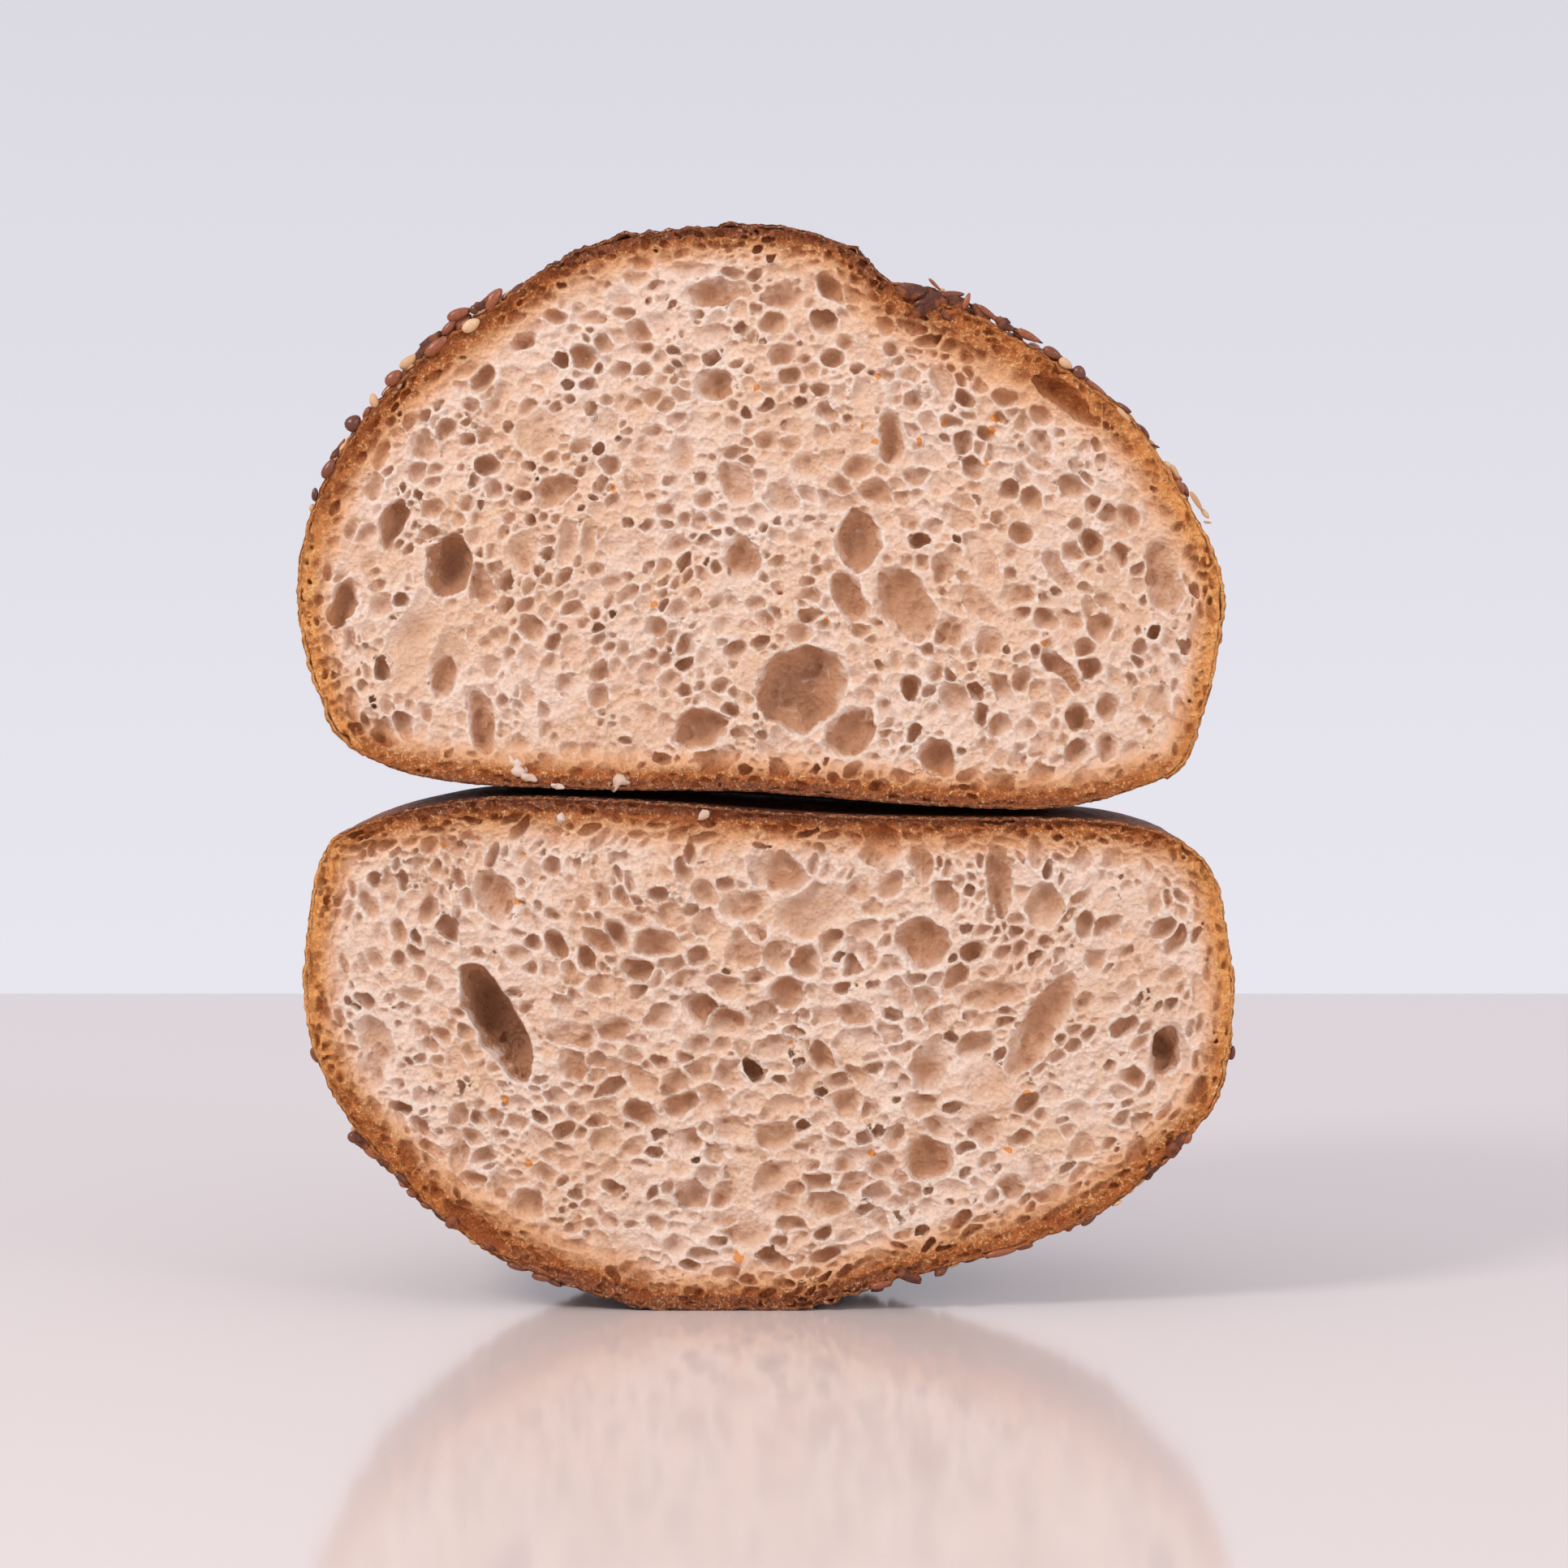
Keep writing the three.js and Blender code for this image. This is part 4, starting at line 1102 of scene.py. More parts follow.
def seed_tree():
    """Node tree: scatters seeds over a patch of crust, each lying flat with its own spin."""
    tree = bpy.data.node_groups.new("seed scatter", "GeometryNodeTree")
    numbers = (
        "Spacing", "Seeds per square metre", "Length", "Width", "Thickness", "Taper",
        "Size spread", "Tilt", "Proud", "Pick from", "Pick to",
    )
    sockets = {"Crust patch": "Geometry", **dict.fromkeys(numbers, "Float")}
    sockets.update({"Seed": "Int", "Material": "Material"})
    for name, kind in sockets.items():
        tree.interface.new_socket(name, in_out="INPUT", socket_type="NodeSocket" + kind)
    tree.interface.new_socket("Seeds", in_out="OUTPUT", socket_type="NodeSocketGeometry")
    nodes = Nodes(tree)
    add, maths = nodes.add, nodes.maths
    given = add("NodeGroupInput").outputs

    share = add("GeometryNodeInputNamedAttribute", {"Name": "seed_share"}, data_type="FLOAT")
    scatter = add("GeometryNodeDistributePointsOnFaces", {
        "Mesh": given["Crust patch"],
        "Distance Min": given["Spacing"],
        "Density Max": given["Seeds per square metre"],
        "Density Factor": share.outputs["Attribute"],
        "Seed": given["Seed"],
    }, distribute_method="POISSON")
    picked = add("FunctionNodeRandomValue", {"Seed": maths("ADD", given["Seed"], 7)}).outputs[1]
    outside = maths(
        "ADD",
        maths("LESS_THAN", picked, given["Pick from"]),
        maths("GREATER_THAN", picked, given["Pick to"]),
    )
    drop = add("GeometryNodeDeleteGeometry", {
        "Geometry": scatter.outputs["Points"], "Selection": outside,
    })

    ball = add("GeometryNodeMeshUVSphere", {"Segments": 8, "Rings": 5, "Radius": 1.0})
    where = add("ShaderNodeSeparateXYZ", {0: add("GeometryNodeInputPosition").outputs[0]}).outputs
    slim = maths("SUBTRACT", 1.0, maths("MULTIPLY", where["X"], given["Taper"]))
    long, wide, thick = (
        maths("MULTIPLY", maths("MULTIPLY", where[axis], given[size]), 0.5)
        for axis, size in (("X", "Length"), ("Y", "Width"), ("Z", "Thickness"))
    )
    form = add("ShaderNodeCombineXYZ", {
        "X": long, "Y": maths("MULTIPLY", wide, slim), "Z": maths("MULTIPLY", thick, slim),
    })
    shape = add("GeometryNodeSetPosition", {
        "Geometry": ball.outputs["Mesh"], "Position": form.outputs[0],
    })

    minus = maths("MULTIPLY", given["Tilt"], -1.0)
    low = add("ShaderNodeCombineXYZ", {"X": minus, "Y": minus})
    high = add("ShaderNodeCombineXYZ", {
        "X": given["Tilt"], "Y": given["Tilt"], "Z": 2 * math.pi,
    })
    spin = add("FunctionNodeRandomValue", {
        "Min": low.outputs[0], "Max": high.outputs[0], "Seed": given["Seed"],
    }, data_type="FLOAT_VECTOR")
    euler = add("FunctionNodeEulerToRotation", {0: spin.outputs["Value"]})
    turn = add("FunctionNodeRotateRotation", {
        "Rotation": scatter.outputs["Rotation"], "Rotate By": euler.outputs[0],
    }, rotation_space="LOCAL")
    size = add("FunctionNodeRandomValue", {
        2: maths("SUBTRACT", 1.0, given["Size spread"]),
        3: maths("ADD", 1.0, given["Size spread"]),
        "Seed": given["Seed"],
    })
    place = add("GeometryNodeInstanceOnPoints", {
        "Points": drop.outputs[0],
        "Instance": shape.outputs[0],
        "Rotation": turn.outputs[0],
        "Scale": size.outputs[1],
    })
    up = add("ShaderNodeCombineXYZ", {"Z": given["Proud"]})
    lift = add("GeometryNodeTranslateInstances", {
        "Instances": place.outputs[0], "Translation": up.outputs[0],
    })
    tint = add("FunctionNodeRandomValue", {"Seed": maths("ADD", given["Seed"], 3)})
    store = add("GeometryNodeStoreNamedAttribute", {
        "Name": "seed_tint", "Geometry": lift.outputs[0], "Value": tint.outputs[1],
    }, data_type="FLOAT", domain="INSTANCE")
    real = add("GeometryNodeRealizeInstances", {0: store.outputs[0]})
    smooth = add("GeometryNodeSetShadeSmooth", {"Geometry": real.outputs[0]})
    dress = add("GeometryNodeSetMaterial", {
        "Geometry": smooth.outputs[0], "Material": given["Material"],
    })
    add("NodeGroupOutput", {0: dress.outputs[0]})
    return tree


def scatter_seeds(half, tree, name, sizes, material):
    """Scatters one kind of seed over a half and returns it as a plain mesh piece."""
    piece = seed_patch(half)
    piece.name = piece.data.name = name
    scatter = piece.modifiers.new("seeds", "NODES")
    scatter.node_group = tree
    keys = {s.name: s.identifier for s in tree.interface.items_tree if s.in_out == "INPUT"}
    for key, value in sizes.items():
        scatter[keys[key]] = value
    scatter[keys["Material"]] = material
    return finished(piece)


def egg(sides, rings):
    """Vertices and triangles of an egg that is 1 long to either side and lies along X."""
    turn = np.linspace(0, 2 * np.pi, sides, endpoint=False)
    rise = np.linspace(0, np.pi, rings + 2)[1:-1]
    ring_x = np.cos(rise)[:, None] * np.ones(sides)[None, :]
    slim = np.sin(rise)[:, None] * (1 - 0.2 * ring_x)
    points = np.stack((ring_x, slim * np.cos(turn), slim * np.sin(turn)), -1).reshape(-1, 3)
    points = np.concatenate((points, [[1, 0, 0], [-1, 0, 0]]))
    i = np.arange(sides)
    j = (i + 1) % sides
    faces = []
    for ring in range(rings - 1):
        a, b = ring * sides, (ring + 1) * sides
        faces += [np.stack((a + i, b + i, b + j), -1), np.stack((a + i, b + j, a + j), -1)]
    last, tip = (rings - 1) * sides, rings * sides
    faces.append(np.stack((np.full_like(i, tip), i, j), -1))
    faces.append(np.stack((np.full_like(i, tip + 1), last + j, last + i), -1))
    return points, np.concatenate(faces)


def placed_bits(half, kind, material, rough=0.0):
    """The seeds or flakes that stand at the edge of the cut, as one mesh of small bodies."""
    own_points, own_faces = egg(14, 9) if rough else egg(10, 6)
    fine = np.arange(2000) / 2000
    outline = on_curve(half["outline"], fine)
    out_x, out_z = facing(half, fine)
    lift = SEED_LIFT[half["name"]]
    points, faces, tints = [], [], []
    for number, bit in enumerate(PLACED_SEEDS[half["name"]]):
        x, z, half_long, half_wide, lean, own_kind = bit
        if own_kind != kind:
            continue
        local = own_points * (half_long, max(half_wide * 0.9, 0.5), half_wide)
        if rough:
            local = local * (1 + rough * layered(local + 40 * number, FLAKE_LUMPS, 61))[:, None]
        cos, sin = math.cos(math.radians(lean)), math.sin(math.radians(lean))
        depth = 0.3 + 0.8 * (number % 3)
        near = np.argmin(np.hypot(outline[:, 0] - x, outline[:, 1] - z))
        x, z = x + out_x[near] * lift, z + out_z[near] * lift
        faces.append(own_faces + len(local) * len(points))
        points.append(np.stack((
            x + local[:, 0] * cos - local[:, 2] * sin,
            CUT_Y + depth + local[:, 1],
            z + local[:, 0] * sin + local[:, 2] * cos,
        ), -1))
        tints.append(np.full(len(local), (number * 0.618) % 1.0))
    piece = new_mesh(
        f"{half['name']}_{kind}_bits",
        np.concatenate(points),
        np.concatenate(faces),
        {"seed_tint": np.concatenate(tints)},
        smooth=not rough,
    )
    piece.data.materials.append(material)
    return piece


def join(name, pieces):
    """Joins mesh pieces into one and gives it a name."""
    with bpy.context.temp_override(
        active_object=pieces[0], selected_editable_objects=pieces, object=pieces[0]
    ):
        bpy.ops.object.join()
    pieces[0].name = pieces[0].data.name = name
    return pieces[0]


# ------------------------------------------------------------------ finishes
def tone(*screen_colour):
    """Red, green and blue from 0 to 255 as the linear colour that a material holds."""
    return (*(((c / 255 + 0.055) / 1.055) ** 2.4 for c in screen_colour), 1.0)


class Wiring(Nodes):
    """A shader tree under construction, whose textures lie in the object's own space."""

    def __init__(self, tree):
        super().__init__(tree)
        self.place = self.add("ShaderNodeTexCoord").outputs["Object"]

    def noise(self, size, detail=2.0, roughness=0.5):
        inputs = {"Scale": 1.0 / size, "Detail": detail, "Roughness": roughness}
        return self.add("ShaderNodeTexNoise", {**inputs, "Vector": self.place}).outputs["Fac"]

    def cells(self, size):
        inputs = {"Scale": 1.0 / size, "Vector": self.place}
        return self.add("ShaderNodeTexVoronoi", inputs).outputs["Distance"]

    def ramp(self, value, low, high, to_low=0.0, to_high=1.0):
        inputs = dict(enumerate((value, low, high, to_low, to_high)))
        node = self.add("ShaderNodeMapRange", inputs, interpolation_type="SMOOTHSTEP")
        return node.outputs["Result"]

    def wander(self, value, noise, reach):
        """The value pushed up and down by a noise that runs from 0 to 1."""
        push = self.maths("MULTIPLY", self.maths("SUBTRACT", noise, 0.5), reach)
        return self.maths("ADD", value, push)


class Finish(Wiring):
    """A material under construction."""

    def __init__(self, name):
        self.material = bpy.data.materials.new(name)
        self.material.use_nodes = True
        super().__init__(self.material.node_tree)

    def value(self, name):
        """What a mesh tells for each of its points."""
        return self.add("ShaderNodeAttribute", attribute_name=name).outputs["Fac"]

    def bump(self, height, distance, strength, under=None):
        inputs = {"Distance": distance, "Strength": strength, "Height": height}
        if under is not None:
            inputs["Normal"] = under
        return self.add("ShaderNodeBump", inputs).outputs["Normal"]

    def set(self, sockets):
        shader = self.tree.nodes["Principled BSDF"]
        for key, value in sockets.items():
            self.feed(shader.inputs[key], value)


def toasted_band():
    """Shader group: how bread browns from the crumb out to the rind, seen in the cut."""
    name = "toasted band"
    if name in bpy.data.node_groups:
        return bpy.data.node_groups[name]
    tree = bpy.data.node_groups.new(name, "ShaderNodeTree")
    for colour in ("Crumb", "Inner", "Golden", "Brown", "Dark", "Glint"):
        tree.interface.new_socket(colour, in_out="INPUT", socket_type="NodeSocketColor")
    for value in ("Inward", "Bake"):
        tree.interface.new_socket(value, in_out="INPUT", socket_type="NodeSocketFloat")
    tree.interface.new_socket("Colour", in_out="OUTPUT", socket_type="NodeSocketColor")
    wiring = Wiring(tree)
    maths, mix, ramp = wiring.maths, wiring.mix, wiring.ramp
    given = tree.nodes.new("NodeGroupInput").outputs
    result = tree.nodes.new("NodeGroupOutput").inputs
    patch, speck = wiring.noise(0.009, 3), wiring.noise(0.0010, 4, 0.7)
    grit, pits = wiring.noise(0.0007, 5, 0.75), wiring.noise(0.0019, 3, 0.6)
    toasted = wiring.wander(wiring.wander(given["Inward"], patch, 2.6), speck, 2.2)
    bake = wiring.wander(given["Bake"], patch, 0.35)
    outer = mix(ramp(bake, 0.0, 0.55), given["Golden"], given["Brown"])
    colour = mix(ramp(toasted, 9.5, 4.2, 0.0, 0.9), given["Crumb"], given["Inner"])
    colour = mix(ramp(toasted, 5.2, 2.6), colour, outer)
    near_crust = ramp(toasted, 6.0, 3.6)
    pit = maths("MULTIPLY", ramp(pits, 0.47, 0.34, 0.0, 0.55), near_crust)
    colour = mix(pit, colour, given["Brown"])
    # Painted glints: sparkle highlights on lighter grains near the crust.
    glint = maths("MULTIPLY", ramp(grit, 0.52, 0.62, 0.0, 0.85), near_crust)
    colour = mix(glint, colour, given["Glint"])
    rind = mix(ramp(bake, 0.4, 0.85), outer, given["Dark"])
    rind = mix(ramp(speck, 0.48, 0.58, 0.0, 0.65), rind, outer)
    # Painted glints in the rind as well.
    rind = mix(ramp(grit, 0.54, 0.63, 0.0, 0.6), rind, given["Glint"])
    wide = ramp(bake, 0.2, 1.0, 0.4, 2.5)
    close = wiring.wander(given["Inward"], wiring.noise(0.0018, 5, 0.7), 2.6)
    colour = mix(ramp(close, maths("ADD", wide, 0.6), wide), colour, rind)
    wiring.feed(result["Colour"], colour)
    return tree


def band_values(finish, crumb_colour, crumb):
    """What the toasted band needs to know, for the crumb and for the crust's rim alike."""
    return {
        "Crumb": crumb_colour, "Inner": crumb.band_inner, "Golden": crumb.band_golden,
        "Brown": crumb.band_brown, "Dark": crumb.band_dark, "Glint": crumb.band_glint,
        "Inward": finish.value("inward"), "Bake": finish.value("bake"),
    }


def crumb_finish(look):
    finish = Finish("crumb")
    mix, ramp, noise = finish.mix, finish.ramp, finish.noise
    maths, value = finish.maths, finish.value
    sunk = value("sunk")
    patch, blush = noise(0.016, 3), noise(0.005, 3)
    pale = mix(ramp(patch, 0.38, 0.62), look.crumb_rim, look.crumb_warm)
    pale = mix(ramp(blush, 0.5, 0.68, 0.0, 0.6), pale, look.crumb_blush)
    raised = value("raised")
    depth = finish.wander(sunk, blush, 1.2)
    fine = noise(0.0009, 3, 0.7)
    pale = mix(ramp(fine, 0.35, 0.6, 0.22, 0.0), pale, look.shaded_crumb_floor)
    # Painted shade: the crumb turns to the shaded pore-floor colour with depth behind the cut, on
    # top of the floors' own darker, translucent tone.
    colour = mix(ramp(depth, 0.8, 4.2), pale, look.shaded_crumb_floor)
    # Painted shade in spots that lie below the crumb round them.
    colour = mix(ramp(raised, -0.1, -1.1, 0.0, 0.35), colour, look.shaded_crumb_floor)
    # Painted highlight on rims that stand above the crumb round them, on top of the thin walls' own
    # paler tone.
    rim_highlight = maths("MULTIPLY", ramp(raised, 0.05, 0.6, 0.0, 0.5), ramp(blush, 0.4, 0.56, 0.3, 1.0))
    colour = mix(rim_highlight, colour, look.crumb_web_highlight)
    # Painted shade: the crumb far behind the cut turns darker still.
    colour = mix(ramp(depth, 4.0, 10.0), colour, look.deep_pore_shade)
    colour = mix(ramp(value("fleck"), 0.35, 0.6, 0.0, 0.9), colour, look.crumb_fleck)
    values = band_values(finish, colour, look)
    band = finish.add("ShaderNodeGroup", values, node_tree=toasted_band()).outputs
    near_crust = ramp(values["Inward"], 7.5, 3.5)
    cavity = maths("MULTIPLY", ramp(sunk, 0.9, 2.2, 0.0, 0.7), near_crust)
    colour = mix(cavity, band["Colour"], look.band_cavity)
    grain = maths("ADD", noise(0.0007, 4, 0.7), finish.cells(0.0012))
    soft = finish.bump(grain, 0.0007, 0.9)
    grit = maths("MULTIPLY", noise(0.0013, 4, 0.7), near_crust)
    finish.set({
        "Base Color": colour,
        "Roughness": ramp(near_crust, 0, 1, 0.6, 0.46),
        "Subsurface Weight": 0.3,
        "Subsurface Scale": 0.0005,
        "Subsurface Radius": (1.0, 0.62, 0.42),
        "Specular IOR Level": 0.3,
        "Normal": finish.bump(grit, 0.0016, 0.9, under=soft),
    })
    return finish.material


def crust_finish(look, crumb):
    finish = Finish("crust")
    mix, ramp, noise = finish.mix, finish.ramp, finish.noise
    maths, value = finish.maths, finish.value
    sole, behind = value("sole"), value("behind")
    blotch, fine = noise(0.012, 4, 0.6), noise(0.0018, 4, 0.6)
    bake = finish.wander(finish.wander(value("bake"), blotch, 0.9), fine, 0.8)
    colour = mix(ramp(bake, 0.0, 0.5), look.crust_golden, look.crust_brown)
    colour = mix(ramp(bake, 0.45, 0.95), colour, look.crust_dark)
    flour = ramp(noise(0.0011, 3, 0.7), 0.6, 0.72, 0.0, 0.55)
    colour = mix(maths("MULTIPLY", flour, sole), colour, look.crust_bloom)
    # The crust's band fades into the shaded pore-floor colour, which holds painted shade.
    values = band_values(finish, crumb.shaded_crumb_floor, crumb)
    band = finish.add("ShaderNodeGroup", values, node_tree=toasted_band()).outputs
    in_cut = maths("MAXIMUM", ramp(values["Inward"], 0.05, 0.3), ramp(behind, 1.6, 0.6))
    colour = mix(in_cut, colour, band["Colour"])
    grain = noise(0.0007, 3, 0.65)
    blister, wrinkle = noise(0.0034, 3, 0.55), finish.cells(0.0042)
    height = maths("ADD", grain, maths("MULTIPLY", blister, 1.8))
    height = maths("ADD", height, maths("MULTIPLY", wrinkle, -0.5))
    grit = maths("MULTIPLY", noise(0.0013, 4, 0.7), in_cut)
    soft = finish.bump(height, 0.0013, 0.9)
    finish.set({
        "Base Color": colour,
        "Roughness": ramp(fine, 0.3, 0.7, 0.40, 0.62),
        "Specular IOR Level": 0.42,
        "Normal": finish.bump(grit, 0.0016, 0.9, under=soft),
    })
    return finish.material


def flake_finish(look):
    finish = Finish("burnt flakes")
    blotch, grain = finish.noise(0.0025, 3), finish.noise(0.0007, 4, 0.7)
    colour = finish.mix(finish.ramp(blotch, 0.4, 0.62), look.crust_dark, look.crust_brown)
    colour = finish.mix(finish.ramp(grain, 0.56, 0.7, 0.0, 0.5), colour, look.crust_golden)
    finish.set({
        "Base Color": colour,
        "Roughness": 0.5,
        "Specular IOR Level": 0.4,
        "Normal": finish.bump(grain, 0.0006, 0.9),
    })
    return finish.material


def seed_finish(name, light, dark, roughness):
    finish = Finish(name)
    tint = finish.value("seed_tint")
    grain = finish.noise(0.0007, 2)
    colour = finish.mix(tint, dark, light)
    colour = finish.mix(finish.ramp(grain, 0.4, 0.7, 0.0, 0.35), colour, dark)
    finish.set({
        "Base Color": colour,
        "Roughness": roughness,
        "Specular IOR Level": 0.5,
        "Normal": finish.bump(grain, 0.00015, 0.5),
    })
    return finish.material


# ------------------------------------------------------------------ settings
def colour_setting(name, description, *screen_colour):
    return bpy.props.FloatVectorProperty(
        name=name, description=description, default=tone(*screen_colour),
        subtype="COLOR", size=4, min=0, max=1,
    )


def length_setting(name, description, default_mm):
    return bpy.props.FloatProperty(
        name=name, description=description, default=default_mm * MM,
        subtype="DISTANCE", unit="LENGTH",
    )


class LoafCrumbSettings(bpy.types.PropertyGroup):
    # Web: painted highlight on raised rims, over the thin walls' paler tone.
    crumb_web_highlight: colour_setting("Web", "Thin walls that stand out", 252, 240, 229)
    crumb_rim: colour_setting("Rims", "Crumb at the cut", 248, 221, 201)
    crumb_warm: colour_setting("Warm patches", "Warmer crumb at the cut", 241, 204, 174)
    crumb_blush: colour_setting("Blush", "Small golden patches", 238, 198, 160)
    # Pore floors: their own darker tone with painted shade for the depth of the pores.
    shaded_crumb_floor: colour_setting("Pore floors", "Crumb down in the pores", 200, 148, 112)
    # Deepest pores: painted shade far behind the cut.
    deep_pore_shade: colour_setting("Deepest pores", "Crumb far behind the cut", 152, 104, 74)
    crumb_fleck: colour_setting("Flecks", "Golden flecks in the crumb", 232, 150, 66)
    band_inner: colour_setting("Band inside", "Toasted band by the crumb", 240, 178, 124)
    band_golden: colour_setting("Band, light", "Lightly baked band by the rind", 255, 176, 100)
    band_brown: colour_setting("Band, brown", "Well baked band by the rind", 198, 112, 50)
    # Band glints: painted sparkle highlights on lighter grains.
    band_glint: colour_setting("Band glints", "Light grains in the band", 255, 220, 160)
    band_dark: colour_setting("Band, dark", "Darkest rind in the cut", 138, 76, 50)
    band_cavity: colour_setting("Band cavities", "Hollows in the band", 166, 84, 34)


class LoafCrustSettings(bpy.types.PropertyGroup):
    crust_golden: colour_setting("Golden", "Palest crust", 202, 128, 64)
    crust_brown: colour_setting("Brown", "Most of the crust", 150, 82, 42)
    crust_dark: colour_setting("Dark", "Score and blisters", 90, 47, 33)
    crust_bloom: colour_setting("Bloom", "Pale specks on the sole", 190, 150, 130)


class LoafSeedSettings(bpy.types.PropertyGroup):
    dark_length: length_setting("Flax length", "Length of a dark seed", 5.0)
    dark_width: length_setting("Flax width", "Width of a dark seed", 2.8)
    pale_length: length_setting("Sesame length", "Length of a pale seed", 3.5)
    pale_width: length_setting("Sesame width", "Width of a pale seed", 2.2)
    spacing: length_setting("Spacing", "Least distance between seeds", 2.3)
    per_square_metre: bpy.props.FloatProperty(
        name="Seeds per square metre", description="Densest scatter of seeds", default=150000
    )
    dark_light: colour_setting("Flax, lighter", "Light end of the dark seeds", 164, 92, 56)
    dark_dark: colour_setting("Flax, darker", "Dark end of the dark seeds", 84, 42, 28)
    crumb_light: colour_setting("Loose crumb, lighter", "Light end of loose crumbs", 228, 208, 196)
    crumb_dark: colour_setting("Loose crumb, darker", "Dark end of loose crumbs", 206, 174, 152)
    pale_light: colour_setting("Sesame, lighter", "Light end of the pale seeds", 226, 190, 150)
    pale_dark: colour_setting("Sesame, darker", "Dark end of the pale seeds", 186, 132, 82)


class LoafStageSettings(bpy.types.PropertyGroup):
    eye_height: length_setting("Eye height", "Camera height over the floor", 155.6)
    eye_distance: length_setting("Eye distance", "Camera distance from the cut", 900)
    eye_side: length_setting("Eye to the side", "Camera offset along X", 3.85)
    focal_pixels: bpy.props.FloatProperty(
        name="Focal length in pixels", description="For a frame 1932 pixels wide", default=5148
    )
    pitch: bpy.props.FloatProperty(
        name="Pitch", description="Downward tilt of the camera", subtype="ANGLE",
        default=math.radians(2.62),
    )
    floor_back: length_setting("Floor's far edge", "Where the floor ends behind the loaf", 662)
    floor_colour: colour_setting("Floor", "Pale floor", 226, 213, 207)
    air_low: colour_setting("Air, low", "Backdrop near the floor", 232, 230, 238)
    air_high: colour_setting("Air, high", "Backdrop at the top", 219, 217, 226)


# ------------------------------------------------------------------ stage
FLOOR_REACH = (2200.0, -3000.0)   # to the sides and to the front
AIR_FROM, AIR_TO = -0.08, 0.14    # heights in the view that the backdrop's colours lie at
LIGHTS = (   # name, place, size, power, colour
    ("key", (-1.2, -1.2, 1.4), 0.6, 22.5, (1.0, 0.97, 0.95)),
    ("fill", (1.45, -1.45, 0.9), 0.9, 10.5, (0.97, 0.97, 1.0)),
)
LIGHT_AIM = (0.0, -0.05, 0.12)
VIEW_PIXELS = 1932                # width that the focal length is told for


# ------------------------------------------------------------------ operators
class LOAF_OT_crumb(bpy.types.Operator):
    """Make the open crumb of both halves"""

    bl_idname = "loaf.crumb"
    bl_label = "Make Crumb"

    def execute(self, context):
        finish = crumb_finish(context.scene.loaf_crumb)
        for seed, half in enumerate(HALVES, 21):
            for piece in build_crumb(half, seed):
                piece.data.materials.append(finish)
                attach(piece, "root")
        return {"FINISHED"}


class LOAF_OT_crust(bpy.types.Operator):
    """Make the crust of both halves, in place of the frame's plain solids"""

    bl_idname = "loaf.crust"
    bl_label = "Make Crust"

    def execute(self, context):
        finish = crust_finish(context.scene.loaf_crust, context.scene.loaf_crumb)
        for seed, half in enumerate(HALVES, 31):
            piece = build_crust(half, seed * 10)
            piece.data.materials.append(finish)
            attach(piece, "root")
            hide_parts(half["node"])
        return {"FINISHED"}


class LOAF_OT_seeds(bpy.types.Operator):
    """Scatter seeds over the shoulders and set those at the edge of the cut"""

    bl_idname = "loaf.seeds"
    bl_label = "Scatter Seeds"

    def execute(self, context):
        look = context.scene.loaf_seeds
        tree = seed_tree()
        finishes = {
            "dark": seed_finish("dark seeds", look.dark_light, look.dark_dark, 0.35),
            "pale": seed_finish("pale seeds", look.pale_light, look.pale_dark, 0.5),
        }
        for number, half in enumerate(HALVES):
            for kind, (flatness, taper, (first, last)) in SEED_FORMS.items():
                width = getattr(look, kind + "_width")
                sizes = {
                    **SEED_SCATTER,
                    "Length": getattr(look, kind + "_length"),
                    "Width": width,
                    "Thickness": width * flatness,
                    "Taper": taper,
                    "Pick from": first,
                    "Pick to": last,
                    "Spacing": look.spacing,
                    "Seeds per square metre": look.per_square_metre,
                    "Seed": 5 + number,
                }
                name = f"{half['name']}_{kind}_seeds"
                spread = scatter_seeds(half, tree, name, sizes, finishes[kind])
                piece = join(name, [spread, placed_bits(half, kind, finishes[kind])])
                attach(piece, "root")
        return {"FINISHED"}


class LOAF_OT_flakes(bpy.types.Operator):
    """Set the burnt flakes and the loose crumbs at the edge of the cut"""

    bl_idname = "loaf.flakes"
    bl_label = "Set Flakes"

    def execute(self, context):
        look = context.scene.loaf_seeds
        burnt = flake_finish(context.scene.loaf_crust)
        crumbs = seed_finish("loose crumbs", look.crumb_light, look.crumb_dark, 0.6)
        for half in HALVES:
            for kind, name, slot, material, rough in (
                ("burnt", "flakes", "crust", burnt, 0.45),
                ("crumb", "loose_crumbs", "crumb", crumbs, 0.75),
            ):
                piece = placed_bits(half, kind, material, rough)
                piece.name = piece.data.name = f"{half['name']}_{name}"
                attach(piece, "root")
        return {"FINISHED"}


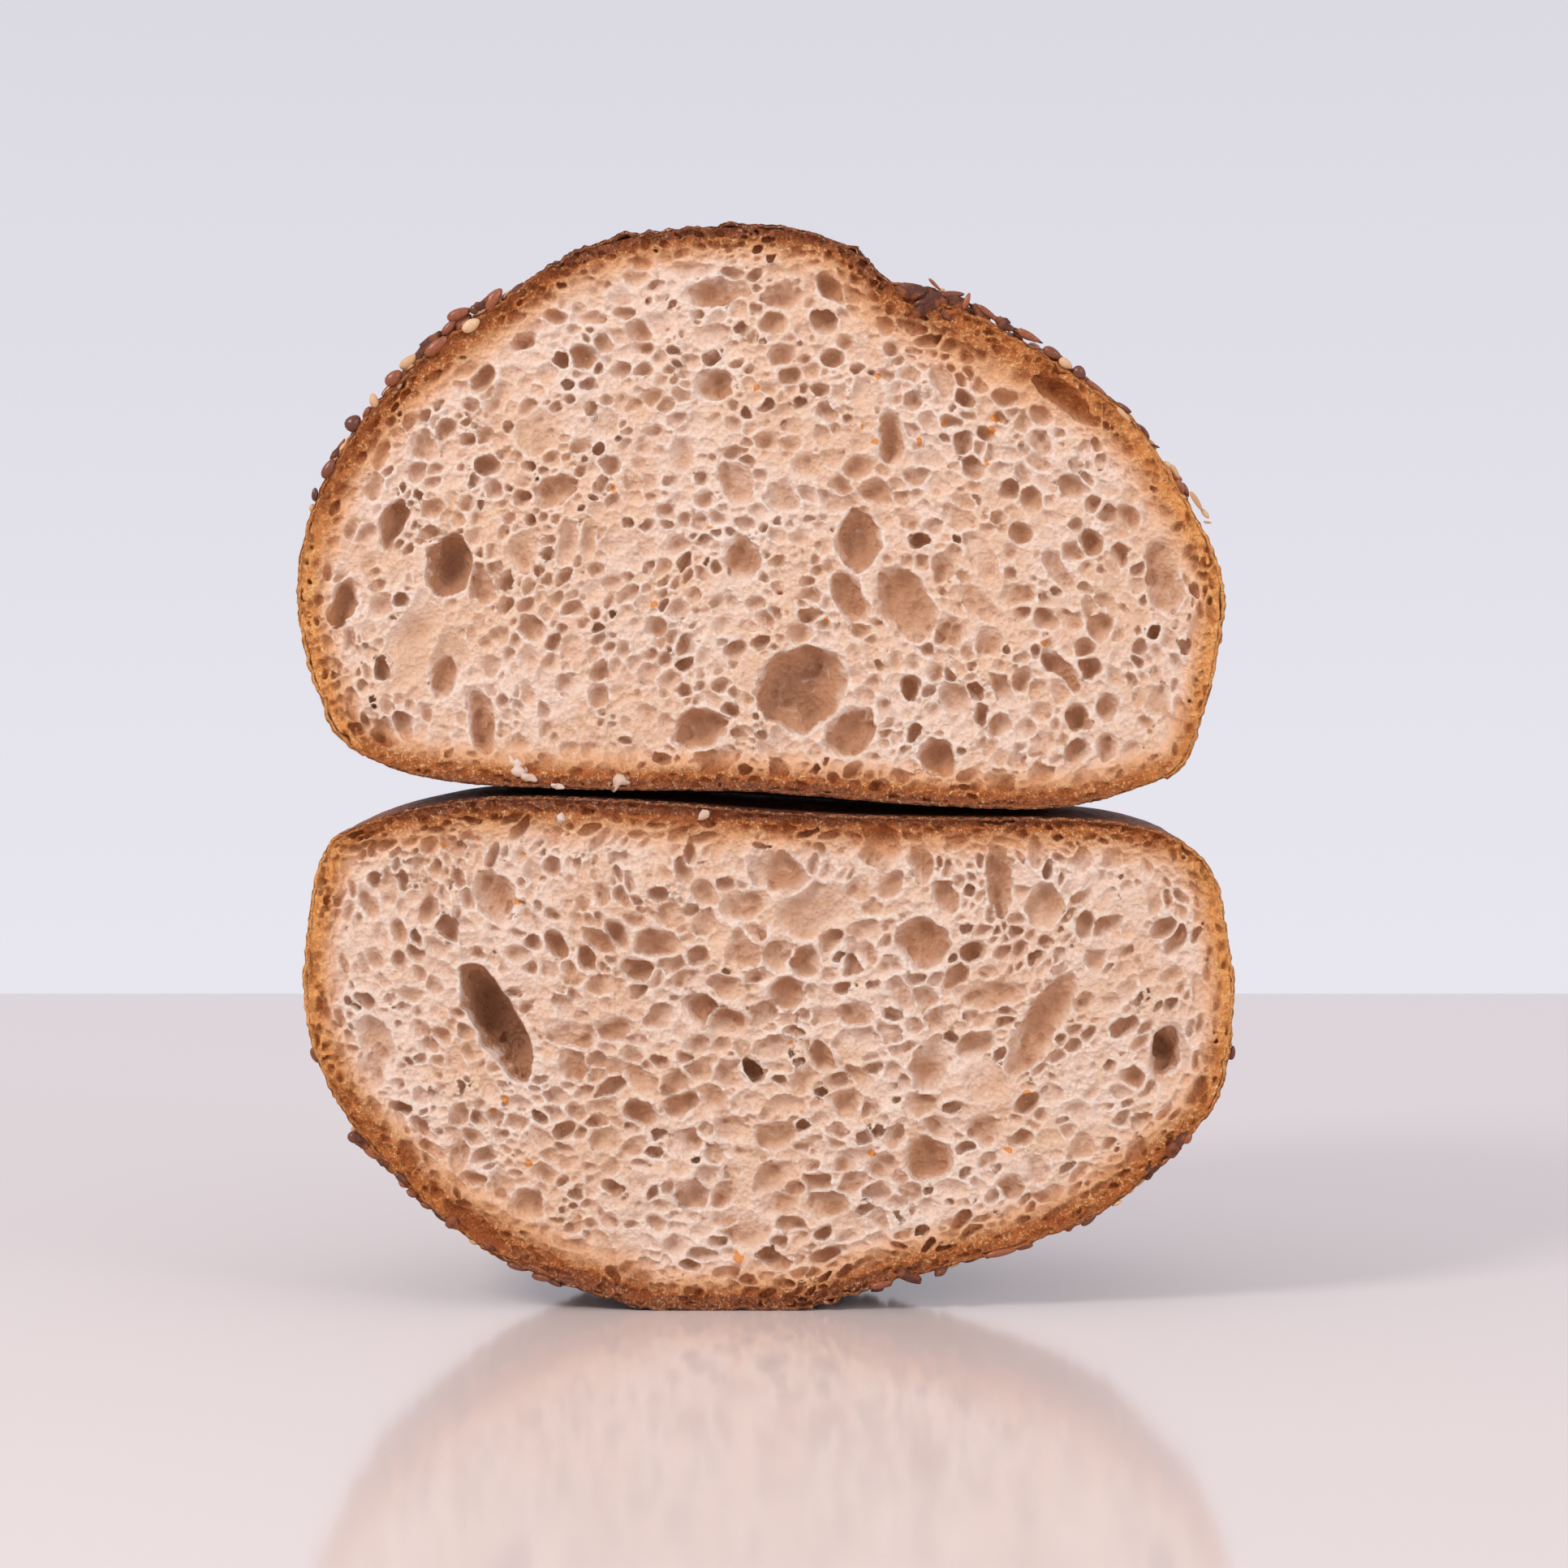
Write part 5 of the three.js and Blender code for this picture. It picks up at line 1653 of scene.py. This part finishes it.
class LOAF_OT_stage(bpy.types.Operator):
    """Set the floor, the light and the camera"""

    bl_idname = "loaf.stage"
    bl_label = "Set Stage"

    def execute(self, context):
        look = context.scene.loaf_stage
        scene = context.scene
        self.floor(look)
        self.air(look, scene)
        self.lights()
        self.camera(look, scene)
        scene.view_settings.view_transform = "Standard"
        scene.view_settings.look = "None"
        return {"FINISHED"}

    @staticmethod
    def floor(look):
        wide, front = FLOOR_REACH
        back = look.floor_back / MM
        corners = [(-wide, front, 0), (wide, front, 0), (wide, back, 0), (-wide, back, 0)]
        floor = new_mesh("floor", corners, [(0, 1, 2, 3)], smooth=False)
        finish = Finish("floor")
        finish.set({"Base Color": look.floor_colour, "Roughness": 0.1, "Specular IOR Level": 0.3})
        floor.data.materials.append(finish.material)

    @staticmethod
    def air(look, scene):
        """A backdrop that changes colour from the floor up."""
        world = bpy.data.worlds.new("air")
        world.use_nodes = True
        scene.world = world
        nodes = Nodes(world.node_tree)
        place = nodes.add("ShaderNodeTexCoord").outputs["Generated"]
        height = nodes.add("ShaderNodeSeparateXYZ", {0: place}).outputs["Z"]
        rise = nodes.add("ShaderNodeMapRange", {
            "Value": height, "From Min": AIR_FROM, "From Max": AIR_TO,
        }).outputs["Result"]
        sky = world.node_tree.nodes["Background"]
        nodes.feed(sky.inputs["Color"], nodes.mix(rise, look.air_low, look.air_high))
        sky.inputs["Strength"].default_value = 1.0

    @staticmethod
    def lights():
        for name, place, size, power, colour in LIGHTS:
            lamp = bpy.data.lights.new(name, "AREA")
            lamp.shape = "DISK"
            lamp.size = size
            lamp.energy = power
            lamp.color = colour
            light = bpy.data.objects.new(name, lamp)
            bpy.context.scene.collection.objects.link(light)
            aim = np.array(LIGHT_AIM) - np.array(place)
            pan = math.atan2(aim[1], aim[0]) - math.pi / 2
            tilt = math.pi / 2 + math.atan2(aim[2], math.hypot(aim[0], aim[1]))
            light.location = place
            light.rotation_euler = (tilt, 0.0, pan)

    @staticmethod
    def camera(look, scene):
        lens = bpy.data.cameras.new("camera")
        lens.sensor_width = 36.0
        lens.sensor_fit = "HORIZONTAL"
        lens.lens = look.focal_pixels / VIEW_PIXELS * lens.sensor_width
        lens.clip_start = 0.01
        camera = bpy.data.objects.new("camera", lens)
        scene.collection.objects.link(camera)
        camera.location = (look.eye_side, CUT_Y * MM - look.eye_distance, look.eye_height)
        camera.rotation_euler = (math.pi / 2 - look.pitch, 0.0, 0.0)
        scene.camera = camera


class LOAF_PT_panel(bpy.types.Panel):
    """Lists the loaf's pieces and the stage"""

    bl_idname = "LOAF_PT_panel"
    bl_label = "Split Sourdough Loaf"
    bl_space_type = "VIEW_3D"
    bl_region_type = "UI"
    bl_category = "Loaf"

    def draw(self, context):
        layout = self.layout
        for operator in OPERATORS:
            layout.operator(operator.bl_idname)
        for settings in SETTINGS:
            box = layout.box()
            box.label(text=settings.replace("_", " ").title())
            group = getattr(context.scene, settings)
            for key in type(group).__annotations__:
                box.prop(group, key)


SETTINGS = {
    "loaf_crumb": LoafCrumbSettings,
    "loaf_crust": LoafCrustSettings,
    "loaf_seeds": LoafSeedSettings,
    "loaf_stage": LoafStageSettings,
}
OPERATORS = (LOAF_OT_crust, LOAF_OT_crumb, LOAF_OT_seeds, LOAF_OT_flakes, LOAF_OT_stage)
CLASSES = (*SETTINGS.values(), *OPERATORS, LOAF_PT_panel)


def register():
    for one in CLASSES:
        bpy.utils.register_class(one)
    for key, settings in SETTINGS.items():
        setattr(bpy.types.Scene, key, bpy.props.PointerProperty(type=settings))


def unregister():
    for key in SETTINGS:
        delattr(bpy.types.Scene, key)
    for one in reversed(CLASSES):
        bpy.utils.unregister_class(one)


def main():
    register()
    bpy.ops.loaf.crust()
    bpy.ops.loaf.crumb()
    bpy.ops.loaf.seeds()
    bpy.ops.loaf.flakes()
    bpy.ops.loaf.stage()


if __name__ == "__main__":
    main()
